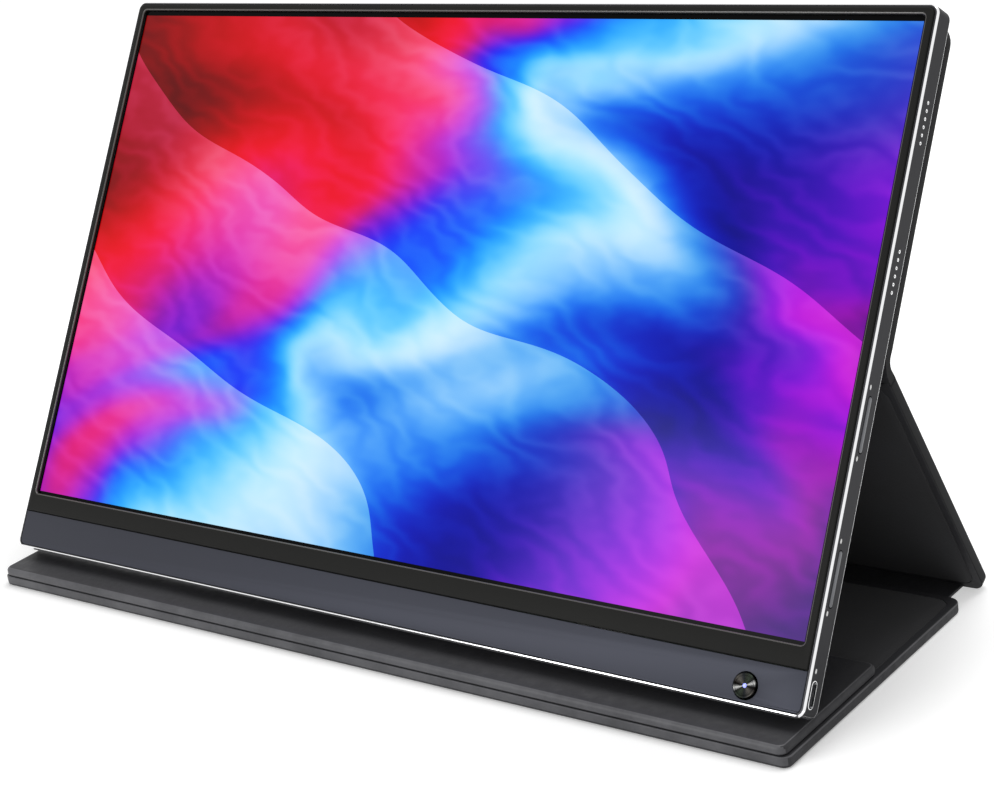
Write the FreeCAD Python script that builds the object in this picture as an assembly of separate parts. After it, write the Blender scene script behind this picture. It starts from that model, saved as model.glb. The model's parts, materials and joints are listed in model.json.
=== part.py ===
import FreeCAD, Part
import math
import os

os.makedirs("parts", exist_ok=True)

# The monitor stands in its folding cover. X runs along the screen, Y to the back and Z up.
# The origin is the middle of the base panel's underside, which lies on the table.
# Inside the monitor a place is given as x, as depth in front of its back face,
# and as height above its bottom edge.

# Driving dimensions in millimetres: monitor
screen_width = 344.2
screen_height = 193.6
side_border = 4.9
top_border = 5.5
band_height = 8.3
chin_height = 14.6
monitor_corner = 3.5
monitor_lean_deg = 32.0
housing_wall = 1.2
housing_back = 1.0
housing_chamfer = 0.6
housing_back_chamfer = 0.5
fit_clearance = 0.15
running_clearance = 0.3
cut_overrun = 2.0

# Driving dimensions in millimetres: cover
cover_side_inset = 0.5
panel_thickness = 4.4
panel_corner = 8.0
fold_corner = 3.0
foot_corner = 4.5
spine_corner = 4.5
crease_corner = 1.6
core_corner = 5.0
base_depth = 114.0
base_thickness = 4.0
flap_depth = 58.0
flap_thickness = 3.0
flap_inset = 1.0
flap_gap = 0.4
cover_gap = 0.3
spine_length = 19.4
crease_height = 110.0
rest_setback = 17.0
skin_thickness = 0.8
lining_thickness = 0.6
panel_rim = 2.6
outer_edge_bevel = 0.7
inner_edge_bevel = 0.9
fold_gap = 6.0
foot_gap = 0.6
crease_strip_thickness = 3.2
spine_strip_thickness = 1.2
spine_inset = 8.0

x_axis = FreeCAD.Vector(1, 0, 0)
y_axis = FreeCAD.Vector(0, 1, 0)
z_axis = FreeCAD.Vector(0, 0, 1)

nodes = {}


def point(x, y, z):
    return FreeCAD.Vector(x, y, z)


def block(x0, x1, depth0, depth1, z0, z1):
    """A box in the monitor's frame, between two depths in front of the back face."""
    corner = point(x0, -depth1, z0)
    return Part.makeBox(x1 - x0, depth1 - depth0, z1 - z0, corner)


def rod(radius, depth0, depth1, x, z):
    """A round bar that runs from back to front in the monitor's frame."""
    return Part.makeCylinder(radius, depth1 - depth0, point(x, -depth0, z), -y_axis)


def lies_in(edge, axis_name, value):
    box = edge.BoundBox
    low = getattr(box, axis_name + "Min")
    high = getattr(box, axis_name + "Max")
    tolerance = fit_clearance / 10
    return abs(low - value) < tolerance and abs(high - value) < tolerance


def edges_in_plane(shape, axis_name, value):
    return [edge for edge in shape.Edges if lies_in(edge, axis_name, value)]


def edges_along(shape, axis):
    """Straight edges that run along an axis."""
    found = []
    for edge in shape.Edges:
        if len(edge.Vertexes) == 2:
            run = edge.Vertexes[1].Point.sub(edge.Vertexes[0].Point)
            if run.cross(axis).Length < fit_clearance / 10:
                found.append(edge)
    return found


def round_block(x0, x1, depth0, depth1, z0, z1, radius):
    """A box in the monitor's frame with its four corners rounded as seen from the front."""
    shape = block(x0, x1, depth0, depth1, z0, z1)
    return shape.makeFillet(radius, edges_along(shape, y_axis))


def slot_along_x(x0, x1, depth, z, length, width):
    """A bar along X whose section is a rounded slot, upright in the side wall."""
    half = (length - width) / 2
    low = Part.makeCylinder(width / 2, x1 - x0, point(x0, -depth, z - half), x_axis)
    high = Part.makeCylinder(width / 2, x1 - x0, point(x0, -depth, z + half), x_axis)
    middle = block(x0, x1, depth - width / 2, depth + width / 2, z - half, z + half)
    return low.fuse([high, middle]).removeSplitter()


def end_corners(shape, length, near_corner, far_corner):
    """Round a flat panel's corners, by one radius at its near end and by another at its far end."""
    upright = edges_along(shape, z_axis)
    near = [edge for edge in upright if edge.BoundBox.YMax < length / 2]
    shape = shape.makeFillet(near_corner, near)
    upright = edges_along(shape, z_axis)
    far = [edge for edge in upright if edge.BoundBox.YMin > length - near_corner / 2]
    return shape.makeFillet(far_corner, far)


def panel_outline(width, length, thickness, near_corner, far_corner):
    """A flat panel with its outer face down, its corners rounded and its edges bevelled."""
    shape = Part.makeBox(width, length, thickness, point(-width / 2, 0, 0))
    shape = end_corners(shape, length, near_corner, far_corner)
    shape = shape.makeChamfer(outer_edge_bevel, edges_in_plane(shape, "Z", 0))
    return shape.makeChamfer(inner_edge_bevel, edges_in_plane(shape, "Z", thickness))


def panel_core(width, length, z0, z1):
    """The space inside a panel's rim, between two heights above its outer face."""
    core_width = width - 2 * panel_rim
    core_length = length - 2 * panel_rim
    core_start = point(-core_width / 2, panel_rim, z0)
    shape = Part.makeBox(core_width, core_length, z1 - z0, core_start)
    return shape.makeFillet(core_corner, edges_along(shape, z_axis))


def panel_layers(width, length, thickness, near_corner, far_corner):
    """Outer skin with its turned-up rim, stiff board and lining of one cover panel."""
    lining_floor = thickness - lining_thickness
    skin = panel_outline(width, length, thickness, near_corner, far_corner)
    skin = skin.cut(panel_core(width, length, skin_thickness, thickness + cut_overrun))
    board = panel_core(width, length, skin_thickness, lining_floor)
    lining = panel_core(width, length, lining_floor, thickness)
    return skin, board, lining


def bent_strip(bend, first_turn_deg, turn_deg, radius, thickness, leg, width):
    """A skin strip across a fold: a leg, an arc about the fold and a second leg."""
    inner = radius - thickness / 2
    outer = radius + thickness / 2

    def place(reach, along, angle_deg):
        angle = math.radians(angle_deg)
        y = bend.y + reach * math.cos(angle) - along * math.sin(angle)
        z = bend.z + reach * math.sin(angle) + along * math.cos(angle)
        return point(-width / 2, y, z)

    start = first_turn_deg
    middle = first_turn_deg + turn_deg / 2
    end = first_turn_deg + turn_deg
    outer_ends = [place(outer, 0, angle) for angle in (start, middle, end)]
    inner_ends = [place(inner, 0, angle) for angle in (end, middle, start)]
    far_points = [outer_ends[-1], place(outer, leg, end), place(inner, leg, end), inner_ends[0]]
    near_points = [inner_ends[-1], place(inner, -leg, start), place(outer, -leg, start), outer_ends[0]]
    outer_arc = Part.Arc(*outer_ends).toShape()
    inner_arc = Part.Arc(*inner_ends).toShape()
    far_leg = Part.makePolygon(far_points)
    near_leg = Part.makePolygon(near_points)
    outline = Part.Wire([outer_arc] + far_leg.Edges + [inner_arc] + near_leg.Edges)
    return Part.Face(outline).extrude(point(width, 0, 0))


def array_along(first, pitch, count):
    return [first + pitch * step for step in range(count)]


def small_hole(radius, length, depth, z, side):
    """A small hole along X, drilled inwards from one side, with few facets."""
    corners = []
    for step in range(small_hole_sides + 1):
        angle = 2 * math.pi * step / small_hole_sides
        y = -depth + radius * math.cos(angle)
        corners.append(point(side * half_width, y, z + radius * math.sin(angle)))
    outline = Part.Face(Part.makePolygon(corners))
    return outline.extrude(point(-side * length, 0, 0))


# Monitor: levels that its pieces share
monitor_width = screen_width + 2 * side_border
monitor_height = chin_height + band_height + screen_height + top_border
half_width = monitor_width / 2
screen_half = screen_width / 2
screen_bottom = chin_height + band_height
screen_top = screen_bottom + screen_height
inner_half = half_width - housing_wall
inner_bottom = housing_wall
inner_top = monitor_height - housing_wall
inner_corner = monitor_corner - housing_wall

# Side features: heights are above the monitor's bottom edge
speaker_hole_radius = 0.5
speaker_hole_pitch = 2.57
speaker_hole_count = 6
small_hole_sides = 8
speaker_row_shares = (0.5932, 0.8050)
speaker_row_heights = [share * monitor_height for share in speaker_row_shares]
speaker_hole_depth = 4.3
volume_key_share = 0.4072
volume_key_height = volume_key_share * monitor_height
menu_key_share = 0.1937
menu_key_height = menu_key_share * monitor_height
key_length = 17.4
key_width = 2.0
key_depth = 5.0
key_proud = 0.2
usb_length = 8.94
usb_width = 3.26
usb_shell = 0.3
usb_reach = 7.3
usb_recess = 0.7
usb_foot = 2.03
usb_height = inner_bottom + usb_foot + usb_length / 2
hdmi_length = 11.2
hdmi_width = 3.2
hdmi_bevel = 1.1
left_usb_share = 0.1261
left_usb_height = left_usb_share * monitor_height
left_hdmi_share = 0.1937
left_hdmi_height = left_hdmi_share * monitor_height

# Screen stack, counted forward from the sockets that set the room behind it
port_board_thickness = 0.6
port_headroom = 0.14
tray_steel = 0.4
guide_thickness = 0.8
film_thickness = 0.4
cell_thickness = 1.0
tape_thickness = 0.2
bezel_plate = 1.2
bezel_lift = 0.5
electronics_depth = port_board_thickness + max(usb_width, hdmi_width) + port_headroom
tray_back = housing_back + electronics_depth
guide_back = tray_back + tray_steel
film_back = guide_back + guide_thickness
cell_back = film_back + film_thickness
cell_front = cell_back + cell_thickness
bezel_back = cell_front + tape_thickness
monitor_thickness = bezel_back + bezel_plate
housing_depth = monitor_thickness - bezel_lift

# Boards: the controller stands off the back wall so that its connector meets the panel's cable
board_thickness = 1.0
board_width = 115.6
board_margin = 0.8
connector_rise = 1.25
cable_thickness = 0.2
board_front = tray_back - cable_thickness - connector_rise
board_back = board_front - board_thickness
usb_depth = board_front + usb_width / 2
port_board_front = housing_back + port_board_thickness
left_usb_depth = port_board_front + usb_width / 2
left_hdmi_depth = port_board_front + hdmi_width / 2

# Power knob on the chin
knob_inset = 21.4
knob_foot = 1.2
knob_radius = 4.0
knob_x = half_width - knob_inset
knob_height = inner_bottom + knob_foot + knob_radius
knob_proud = 0.8
knob_travel = 0.6
chin_plate = 1.0
chin_front = housing_depth + fit_clearance
chin_back = chin_front - chin_plate

# Rear housing: one metal tray with chamfered front rim and back edges, bosses and cut-outs
boss_radius = 1.8
boss_edge = 3.0
housing = round_block(-half_width, half_width, 0, housing_depth, 0, monitor_height,
                      monitor_corner)
housing = housing.makeChamfer(housing_back_chamfer, edges_in_plane(housing, "Y", 0))
housing = housing.makeChamfer(housing_chamfer, edges_in_plane(housing, "Y", -housing_depth))
cavity_front = housing_depth + cut_overrun
cavity = round_block(-inner_half, inner_half, housing_back, cavity_front, inner_bottom,
                     inner_top, inner_corner)
housing = housing.cut(cavity)
board_right = inner_half - fit_clearance
board_left = board_right - board_width
board_bottom = inner_bottom + board_margin
board_top = chin_height + board_margin
boss_places = []
for boss_x in (board_left + boss_edge, board_right - 4 * boss_edge):
    for boss_z in (board_bottom + boss_edge, board_top - boss_edge):
        boss_places.append((boss_x, boss_z))
bosses = [rod(boss_radius, housing_back, board_back, x, z) for x, z in boss_places]
housing = housing.fuse(bosses)
wall_outside = half_width + cut_overrun
side_cuts = []
hole_reach = housing_wall + cut_overrun
for row_height in speaker_row_heights:
    for hole_height in array_along(row_height, speaker_hole_pitch, speaker_hole_count):
        for side in (-1, 1):
            hole = small_hole(speaker_hole_radius, hole_reach, speaker_hole_depth, hole_height, side)
            side_cuts.append(hole)
slot_start = inner_half - cut_overrun
key_slot_length = key_length + 2 * running_clearance
key_slot_width = key_width + 2 * running_clearance
for key_height in (volume_key_height, menu_key_height):
    side_cuts.append(slot_along_x(slot_start, wall_outside, key_depth, key_height, key_slot_length,
                                  key_slot_width))
usb_slot_length = usb_length + 2 * fit_clearance
usb_slot_width = usb_width + 2 * fit_clearance
side_cuts.append(slot_along_x(slot_start, wall_outside, usb_depth, usb_height, usb_slot_length,
                              usb_slot_width))
side_cuts.append(slot_along_x(-wall_outside, -slot_start, left_usb_depth, left_usb_height,
                              usb_slot_length, usb_slot_width))
hdmi_half_slot = hdmi_length / 2 + fit_clearance
hdmi_slot_back = left_hdmi_depth - hdmi_width / 2 - fit_clearance
hdmi_slot_front = left_hdmi_depth + hdmi_width / 2 + fit_clearance
side_cuts.append(block(-wall_outside, -slot_start, hdmi_slot_back, hdmi_slot_front,
                       left_hdmi_height - hdmi_half_slot, left_hdmi_height + hdmi_half_slot))
nodes["rear_housing"] = housing.cut(side_cuts)

# Front bezel: black frame with a wide lower band and a short lip inside the housing wall
bezel_reveal = 0.8
bezel_top_reveal = 1.9
bezel_foot_reveal = 1.2
bezel_lip = 0.8
bezel_lip_reach = 0.8
bezel_edge_round = 0.5
bezel_half = inner_half - fit_clearance
bezel_top = inner_top - fit_clearance
bezel_corner = inner_corner - fit_clearance
opening_half = screen_half + bezel_reveal
opening_bottom = screen_bottom - bezel_foot_reveal
opening_top = screen_top + bezel_top_reveal
bezel_lip_back = bezel_back - bezel_lip_reach
frame = block(-bezel_half, bezel_half, bezel_lip_back, monitor_thickness, chin_height, bezel_top)
top_corners = [edge for edge in edges_along(frame, y_axis) if lies_in(edge, "Z", bezel_top)]
frame = frame.makeFillet(bezel_corner, top_corners)
frame = frame.makeFillet(bezel_edge_round, edges_in_plane(frame, "Y", -monitor_thickness))
lip_half = bezel_half - bezel_lip
lip_space = block(-lip_half, lip_half, bezel_lip_back - cut_overrun, bezel_back,
                  chin_height - cut_overrun, bezel_top - bezel_lip)
window = block(-opening_half, opening_half, bezel_lip_back, monitor_thickness + cut_overrun,
               opening_bottom, opening_top)
nodes["front_bezel"] = frame.cut([lip_space, window])

# Chin strip: metal plate under the band, with a turned-back lower lip and the knob's hole
chin_lip = 0.8
chin_lip_reach = 2.0
chin_lip_end = knob_x - 3 * knob_radius
chin_bottom = inner_bottom + fit_clearance
chin_top = chin_height - fit_clearance
chin_edge_round = 0.3
chin = block(-bezel_half, bezel_half, chin_back, chin_front, chin_bottom, chin_top)
low_corners = [edge for edge in edges_along(chin, y_axis) if lies_in(edge, "Z", chin_bottom)]
chin = chin.makeFillet(bezel_corner, low_corners)
chin = chin.makeFillet(chin_edge_round, edges_in_plane(chin, "Y", -chin_front))
chin_lip_bar = block(-chin_lip_end, chin_lip_end, chin_back - chin_lip_reach, chin_back,
                     chin_bottom, chin_bottom + chin_lip)
knob_hole = rod(knob_radius + running_clearance, 0, monitor_thickness + cut_overrun, knob_x,
                knob_height)
nodes["chin_panel"] = chin.fuse(chin_lip_bar).cut(knob_hole)

# Liquid crystal cell, clear of the bezel's lip, and the tape that holds the bezel to it
cell_foot = 7.0
cell_edge_clearance = 1.55
cell_half = inner_half - cell_edge_clearance
cell_bottom = screen_bottom - cell_foot
cell_top = inner_top - cell_edge_clearance
nodes["lcd_cell"] = block(-cell_half, cell_half, cell_back, cell_front, cell_bottom, cell_top)
tape = block(-cell_half, cell_half, cell_front, bezel_back, cell_bottom, cell_top)
tape_window = block(-opening_half, opening_half, cell_front - cut_overrun, bezel_back + cut_overrun,
                    opening_bottom, opening_top)
nodes["bezel_tape"] = tape.cut(tape_window)

# Backlight: films, light guide, LED bar along the foot, and a steel tray with folded lips
film_step = 1.9
film_foot_step = 2.1
led_bar_height = 1.4
film_half = cell_half - film_step
film_bottom = cell_bottom + film_foot_step
film_top = cell_top - film_step
guide_bottom = film_bottom + led_bar_height
nodes["optical_films"] = block(-film_half, film_half, film_back, cell_back, film_bottom, film_top)
nodes["light_guide"] = block(-film_half, film_half, guide_back, film_back, guide_bottom, film_top)
nodes["led_bar"] = block(-film_half, film_half, guide_back, film_back, film_bottom, guide_bottom)
tray_half = film_half + tray_steel
tray = block(-tray_half, tray_half, tray_back, cell_back, film_bottom - tray_steel,
             film_top + tray_steel)
tray_space = block(-film_half, film_half, guide_back, cell_back + cut_overrun, film_bottom, film_top)
nodes["back_tray"] = tray.cut(tray_space)

# Controller board on its bosses, with its chips and the panel connector
chip_height = 1.1
chip_size = 8.0
chip_place_shares = (0.13, 0.536, 0.692)
chip_xs = [board_left + share * board_width for share in chip_place_shares]
connector_place_share = 0.33
connector_x = board_left + connector_place_share * board_width
connector_width = 22.0
connector_length = 4.0
cable_reach = 46.0
board = block(board_left, board_right, board_back, board_front, board_bottom, board_top)
board_corner = [edge for edge in edges_along(board, y_axis)
                if lies_in(edge, "X", board_right) and lies_in(edge, "Z", board_bottom)]
board = board.makeFillet(inner_corner, board_corner)
chip_bottom = (board_bottom + board_top - chip_size) / 2
chips = [block(x - chip_size / 2, x + chip_size / 2, board_front, board_front + chip_height, chip_bottom,
               chip_bottom + chip_size) for x in chip_xs]
connector_front = tray_back - cable_thickness
connector_bottom = board_top - connector_length
connector_half = connector_width / 2
chips.append(block(connector_x - connector_half, connector_x + connector_half, board_front,
                   connector_front, connector_bottom, board_top))
nodes["controller_board"] = board.fuse(chips)
cable_half = connector_half - board_margin
nodes["panel_cable"] = block(connector_x - cable_half, connector_x + cable_half, connector_front,
                             tray_back, connector_bottom, connector_bottom + cable_reach)


def usb_socket(depth, height):
    """A right-hand USB-C socket: rounded shell, closed at its inner end, with a tongue inside."""
    mouth = half_width - usb_recess
    end = mouth - usb_reach
    tongue_length = usb_length - usb_width
    tongue_half = 2 * usb_shell
    shell = slot_along_x(end, mouth, depth, height, usb_length, usb_width)
    bore = slot_along_x(end + 2 * usb_shell, mouth + cut_overrun, depth, height,
                        usb_length - 2 * usb_shell, usb_width - 2 * usb_shell)
    tongue = block(end, mouth - 4 * usb_shell, depth - tongue_half, depth + tongue_half,
                   height - tongue_length / 2, height + tongue_length / 2)
    return shell.cut(bore).fuse(tongue)


nodes["usb_c_socket"] = usb_socket(usb_depth, usb_height)
left_socket = usb_socket(left_usb_depth, left_usb_height)
nodes["left_usb_c_socket"] = left_socket.mirror(point(0, 0, 0), x_axis)

# Mini HDMI socket on the left: bevelled shell with a flat tongue
hdmi_mouth = half_width - usb_recess
hdmi_end = hdmi_mouth - usb_reach
hdmi_half = hdmi_length / 2
hdmi_back = left_hdmi_depth - hdmi_width / 2
hdmi_front = left_hdmi_depth + hdmi_width / 2


def hdmi_body(x0, x1, wall):
    shape = block(x0, x1, hdmi_back + wall, hdmi_front - wall, left_hdmi_height - hdmi_half + wall,
                  left_hdmi_height + hdmi_half - wall)
    bevelled = [edge for edge in edges_along(shape, x_axis) if lies_in(edge, "Y", -hdmi_front + wall)]
    return shape.makeChamfer(hdmi_bevel, bevelled)


hdmi_tongue_half = hdmi_half - 2 * hdmi_bevel
hdmi_tongue = block(hdmi_end, hdmi_mouth - 4 * usb_shell, left_hdmi_depth - usb_shell,
                    left_hdmi_depth + usb_shell, left_hdmi_height - hdmi_tongue_half,
                    left_hdmi_height + hdmi_tongue_half)
hdmi_bore = hdmi_body(hdmi_end + 2 * usb_shell, hdmi_mouth + cut_overrun, usb_shell)
hdmi = hdmi_body(hdmi_end, hdmi_mouth, 0).cut(hdmi_bore)
nodes["left_hdmi_socket"] = hdmi.fuse(hdmi_tongue).mirror(point(0, 0, 0), x_axis)
port_board_width = 17.0
port_board_end = -inner_half + fit_clearance
nodes["left_port_board"] = block(port_board_end, port_board_end + port_board_width, housing_back,
                                 port_board_front, left_usb_height - usb_length,
                                 left_hdmi_height + hdmi_length)

# Power knob: turned cap, retaining flange behind the chin, stem into the switch, light in the middle
knob_flange_lip = 0.5
knob_flange = 0.8
knob_stem_radius = 1.5
knob_edge_bevel = 0.4
knob_dish = 0.35
knob_lens_radius = 0.7
knob_lens_reach = 1.6
switch_size = 5.2
switch_height = 1.6
knob_front = chin_front + knob_proud
flange_front = chin_back - running_clearance
flange_back = flange_front - knob_flange
switch_front = board_front + switch_height
stem_back = switch_front + fit_clearance
cap = rod(knob_radius, flange_front, knob_front, knob_x, knob_height)
cap = cap.makeChamfer(knob_edge_bevel, edges_in_plane(cap, "Y", -knob_front))
dish_radius = knob_radius - 2 * knob_edge_bevel
dish_centre = point(knob_x, -knob_front, knob_height)
dish = Part.makeCone(dish_radius, knob_lens_radius, knob_dish, dish_centre, y_axis)
knob = cap.cut(dish)
knob = knob.fuse([rod(knob_radius + knob_flange_lip, flange_back, flange_front, knob_x, knob_height),
                  rod(knob_stem_radius, stem_back, flange_back, knob_x, knob_height)])
lens_back = knob_front - knob_lens_reach
lens_front = knob_front - knob_dish / 2
lens_hole = rod(knob_lens_radius, lens_back, knob_front + cut_overrun, knob_x, knob_height)
nodes["power_knob"] = knob.cut(lens_hole)
nodes["knob_light"] = rod(knob_lens_radius, lens_back, lens_front, knob_x, knob_height)
switch = block(knob_x - switch_size / 2, knob_x + switch_size / 2, board_front, switch_front,
               knob_height - switch_size / 2, knob_height + switch_size / 2)
switch_bore_floor = stem_back - knob_travel - running_clearance
switch_bore = rod(knob_stem_radius + running_clearance, switch_bore_floor, switch_front + cut_overrun,
                  knob_x, knob_height)
nodes["knob_switch"] = switch.cut(switch_bore)

# Side keys: a rounded bar through the wall, a flange behind it and two nubs over the switches
key_flange = 0.6
key_flange_gap = 0.7
key_flange_overlap = 1.0
key_nub_radius = 0.8
key_nub = 0.25
key_nub_place = 5.5
key_switch_gap = 0.4
key_switch = 0.6
key_switch_size = 3.0
key_flex = 0.2
key_flange_front = inner_half - key_flange_gap
key_flange_back = key_flange_front - key_flange
nub_end = key_flange_back - key_nub
key_switch_face = nub_end - key_switch_gap
key_flex_face = key_switch_face - key_switch
key_heights = {"volume_key": volume_key_height, "menu_key": menu_key_height}
flange_length = key_length + 2 * key_flange_overlap
flange_width = key_width + key_flange_overlap
key_switches = []
for key_name, key_height in key_heights.items():
    key = slot_along_x(key_flange_front, half_width + key_proud, key_depth, key_height, key_length,
                       key_width)
    flange = slot_along_x(key_flange_back, key_flange_front, key_depth, key_height, flange_length,
                          flange_width)
    nubs = []
    for nub_height in (key_height - key_nub_place, key_height + key_nub_place):
        nub_start = point(nub_end, -key_depth, nub_height)
        nubs.append(Part.makeCylinder(key_nub_radius, key_nub, nub_start, x_axis))
        switch_low = nub_height - key_switch_size / 2
        key_switches.append(block(key_flex_face, key_switch_face, key_depth - key_width / 2,
                                  key_depth + key_width / 2, switch_low, switch_low + key_switch_size))
    nodes[key_name] = key.fuse([flange] + nubs)
nodes["key_switches"] = Part.Compound(key_switches)
flex_low = menu_key_height - key_length / 2
flex_high = volume_key_height + key_length / 2
nodes["key_flex"] = block(key_flex_face - key_flex, key_flex_face, key_depth - key_width / 2,
                          key_depth + key_width / 2, flex_low, flex_high)

# Speakers: one slim box in each side behind its two rows of holes
speaker_width = 10.0
speaker_margin = 4.0
speaker_round = 2.0
speaker_low = speaker_row_heights[0] - speaker_margin
speaker_row_length = (speaker_hole_count - 1) * speaker_hole_pitch
speaker_high = speaker_row_heights[1] + speaker_row_length + speaker_margin
speaker_front = tray_back - fit_clearance
speaker_start = inner_half - speaker_width
speaker = block(speaker_start, inner_half, housing_back, speaker_front, speaker_low, speaker_high)
inner_edges = [edge for edge in edges_along(speaker, y_axis) if lies_in(edge, "X", speaker_start)]
speaker = speaker.makeFillet(speaker_round, inner_edges)
nodes["speakers"] = Part.Compound([speaker, speaker.mirror(point(0, 0, 0), x_axis)])

# Battery: flat pouch cells side by side on the back wall, between the speakers
battery_count = 3
battery_height = 62.0
battery_headroom = 0.6
battery_side_gap = 13.8
battery_gap = 2.0
battery_low = 78.0
battery_round = 1.5
battery_front = tray_back - battery_headroom
battery_start = speaker_start - battery_side_gap
battery_width = (2 * battery_start - (battery_count - 1) * battery_gap) / battery_count
battery_cells = []
for cell_start in array_along(-battery_start, battery_width + battery_gap, battery_count):
    battery_cells.append(round_block(cell_start, cell_start + battery_width, housing_back,
                                     battery_front, battery_low, battery_low + battery_height,
                                     battery_round))
nodes["battery_cells"] = Part.Compound(battery_cells)

# Steel keeper plates inside the back wall, facing the cover's magnets
cover_width = monitor_width - 2 * cover_side_inset
magnet_side_inset = 46.5
magnet_pitch = 50.0
outer_magnet_x = cover_width / 2 - magnet_side_inset
inner_magnet_x = outer_magnet_x - magnet_pitch
magnet_xs = (-outer_magnet_x, -inner_magnet_x, inner_magnet_x, outer_magnet_x)
magnet_length = 30.0
magnet_width = 10.0
magnet_thickness = 2.0
magnet_top_inset = 14.0
keeper_thickness = 0.5
keeper_margin = 2.0
back_panel_top_inset = 2.0
back_panel_top = monitor_height - back_panel_top_inset
magnet_height = back_panel_top - magnet_top_inset
keeper_half_length = magnet_length / 2 + keeper_margin
keeper_half_width = magnet_width / 2 + keeper_margin
keeper_front = housing_back + keeper_thickness
keepers = [block(x - keeper_half_length, x + keeper_half_length, housing_back, keeper_front,
                 magnet_height - keeper_half_width, magnet_height + keeper_half_width)
           for x in magnet_xs]
nodes["keeper_plates"] = Part.Compound(keepers)

# The monitor leans back on the flap: its lower back edge stands a running clearance above it
rest_y = -base_depth / 2 + rest_setback
flap_bottom = base_thickness + flap_gap
flap_top = flap_bottom + flap_thickness
rest_z = flap_top + running_clearance
monitor_pose = FreeCAD.Placement(point(0, rest_y, rest_z), FreeCAD.Rotation(x_axis, -monitor_lean_deg))
monitor_names = list(nodes)

# Upper back panel of the cover, flat against the monitor's back, with its magnets let into the board
back_panel_low = crease_height + fold_gap
back_panel_length = back_panel_top - back_panel_low
back_skin, back_board, back_lining = panel_layers(cover_width, back_panel_length, panel_thickness,
                                                  crease_corner, panel_corner)
magnet_floor = skin_thickness
magnet_y = magnet_height - back_panel_low
magnets = []
for magnet_x in magnet_xs:
    magnet_corner = point(magnet_x - magnet_length / 2, magnet_y - magnet_width / 2, magnet_floor)
    magnets.append(Part.makeBox(magnet_length, magnet_width, magnet_thickness, magnet_corner))
back_layers = {"back_skin": back_skin, "back_board": back_board.cut(magnets), "back_lining": back_lining,
               "back_magnets": Part.Compound(magnets)}
for layer_name, layer in back_layers.items():
    layer.rotate(point(0, 0, 0), x_axis, 90)
    layer.translate(point(0, cover_gap + panel_thickness, back_panel_low))
    nodes[layer_name] = layer
    monitor_names.append(layer_name)
for name in monitor_names:
    nodes[name].Placement = monitor_pose.multiply(nodes[name].Placement)

# Folds: the crease lies in the panels' middle plane, the foot fold in the outer skin at the table
crease = monitor_pose.multVec(point(0, cover_gap + panel_thickness / 2, crease_height))
foot = point(0, base_depth / 2 + spine_length, skin_thickness)
foot_offset = panel_thickness / 2 - skin_thickness
foot_reach = math.hypot(foot.y - crease.y, foot.z - crease.z)
strut_length = math.sqrt(foot_reach ** 2 - foot_offset ** 2)
foot_line_angle = math.atan2(crease.z - foot.z, foot.y - crease.y)
strut_angle_deg = math.degrees(foot_line_angle + math.atan2(foot_offset, strut_length))
strut_open_deg = 180 - strut_angle_deg

# Strut: the lower back panel, built flat on the table behind the foot fold and raised about it
strut_panel_length = strut_length - foot_gap - fold_gap
strut_layers = panel_layers(cover_width, strut_panel_length, panel_thickness, foot_corner,
                            crease_corner)
for layer_name, layer in zip(("strut_skin", "strut_board", "strut_lining"), strut_layers):
    layer.translate(point(0, foot.y + foot_gap, 0))
    layer.rotate(foot, x_axis, strut_open_deg)
    nodes[layer_name] = layer

# Base panel, outer skin down on the table
base_layers = panel_layers(cover_width, base_depth, base_thickness, fold_corner, spine_corner)
for layer_name, layer in zip(("base_skin", "base_board", "base_lining"), base_layers):
    layer.translate(point(0, -base_depth / 2, 0))
    nodes[layer_name] = layer

# Front flap, folded back over the base with its outer skin up, its closing magnets near the free edge
flap_width = cover_width - 2 * flap_inset
closing_magnet_edge = 9.0
flap_skin, flap_board, flap_lining = panel_layers(flap_width, flap_depth, flap_thickness,
                                                  fold_corner, fold_corner)
closing_thickness = flap_thickness - skin_thickness - lining_thickness
closing_magnets = []
for magnet_x in magnet_xs:
    closing_y = flap_depth - closing_magnet_edge - magnet_width / 2
    closing_corner = point(magnet_x - magnet_length / 2, closing_y, skin_thickness)
    closing_magnets.append(Part.makeBox(magnet_length, magnet_width, closing_thickness,
                                        closing_corner))
flap_layers = {"flap_skin": flap_skin, "flap_board": flap_board.cut(closing_magnets),
               "flap_lining": flap_lining, "flap_magnets": Part.Compound(closing_magnets)}
for layer_name, layer in flap_layers.items():
    layer.rotate(point(0, 0, 0), y_axis, 180)
    layer.translate(point(0, -base_depth / 2, flap_top))
    nodes[layer_name] = layer

# Fold strips: skin to skin across the crease, the spine on the table, the front fold tucked inwards
crease_bend = 7.0
crease_turn_deg = 90 - strut_angle_deg + monitor_lean_deg
crease_half = math.radians(crease_turn_deg / 2)
crease_middle = math.radians(180 - monitor_lean_deg + crease_turn_deg / 2)
crease_centre_reach = crease_bend / math.cos(crease_half)
crease_centre = point(0, crease.y - crease_centre_reach * math.cos(crease_middle),
                      crease.z - crease_centre_reach * math.sin(crease_middle))
crease_leg = fold_gap - crease_bend * math.tan(crease_half)
strip_width = cover_width - 2 * spine_inset
nodes["crease_strip"] = bent_strip(crease_centre, 180 - monitor_lean_deg, crease_turn_deg, crease_bend,
                                   crease_strip_thickness, crease_leg, cover_width)
spine_lift = 0.1
spine_end = foot.y - panel_thickness
nodes["spine_strip"] = Part.makeBox(strip_width, spine_end - base_depth / 2, spine_strip_thickness,
                                    point(-strip_width / 2, base_depth / 2, spine_lift))
front_fold_bend = 0.5
front_fold_thickness = 0.4
front_fold_lead = 0.4
front_fold_lip = 0.1
front_fold = point(0, -base_depth / 2 - front_fold_lead, base_thickness + flap_gap / 2)
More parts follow.
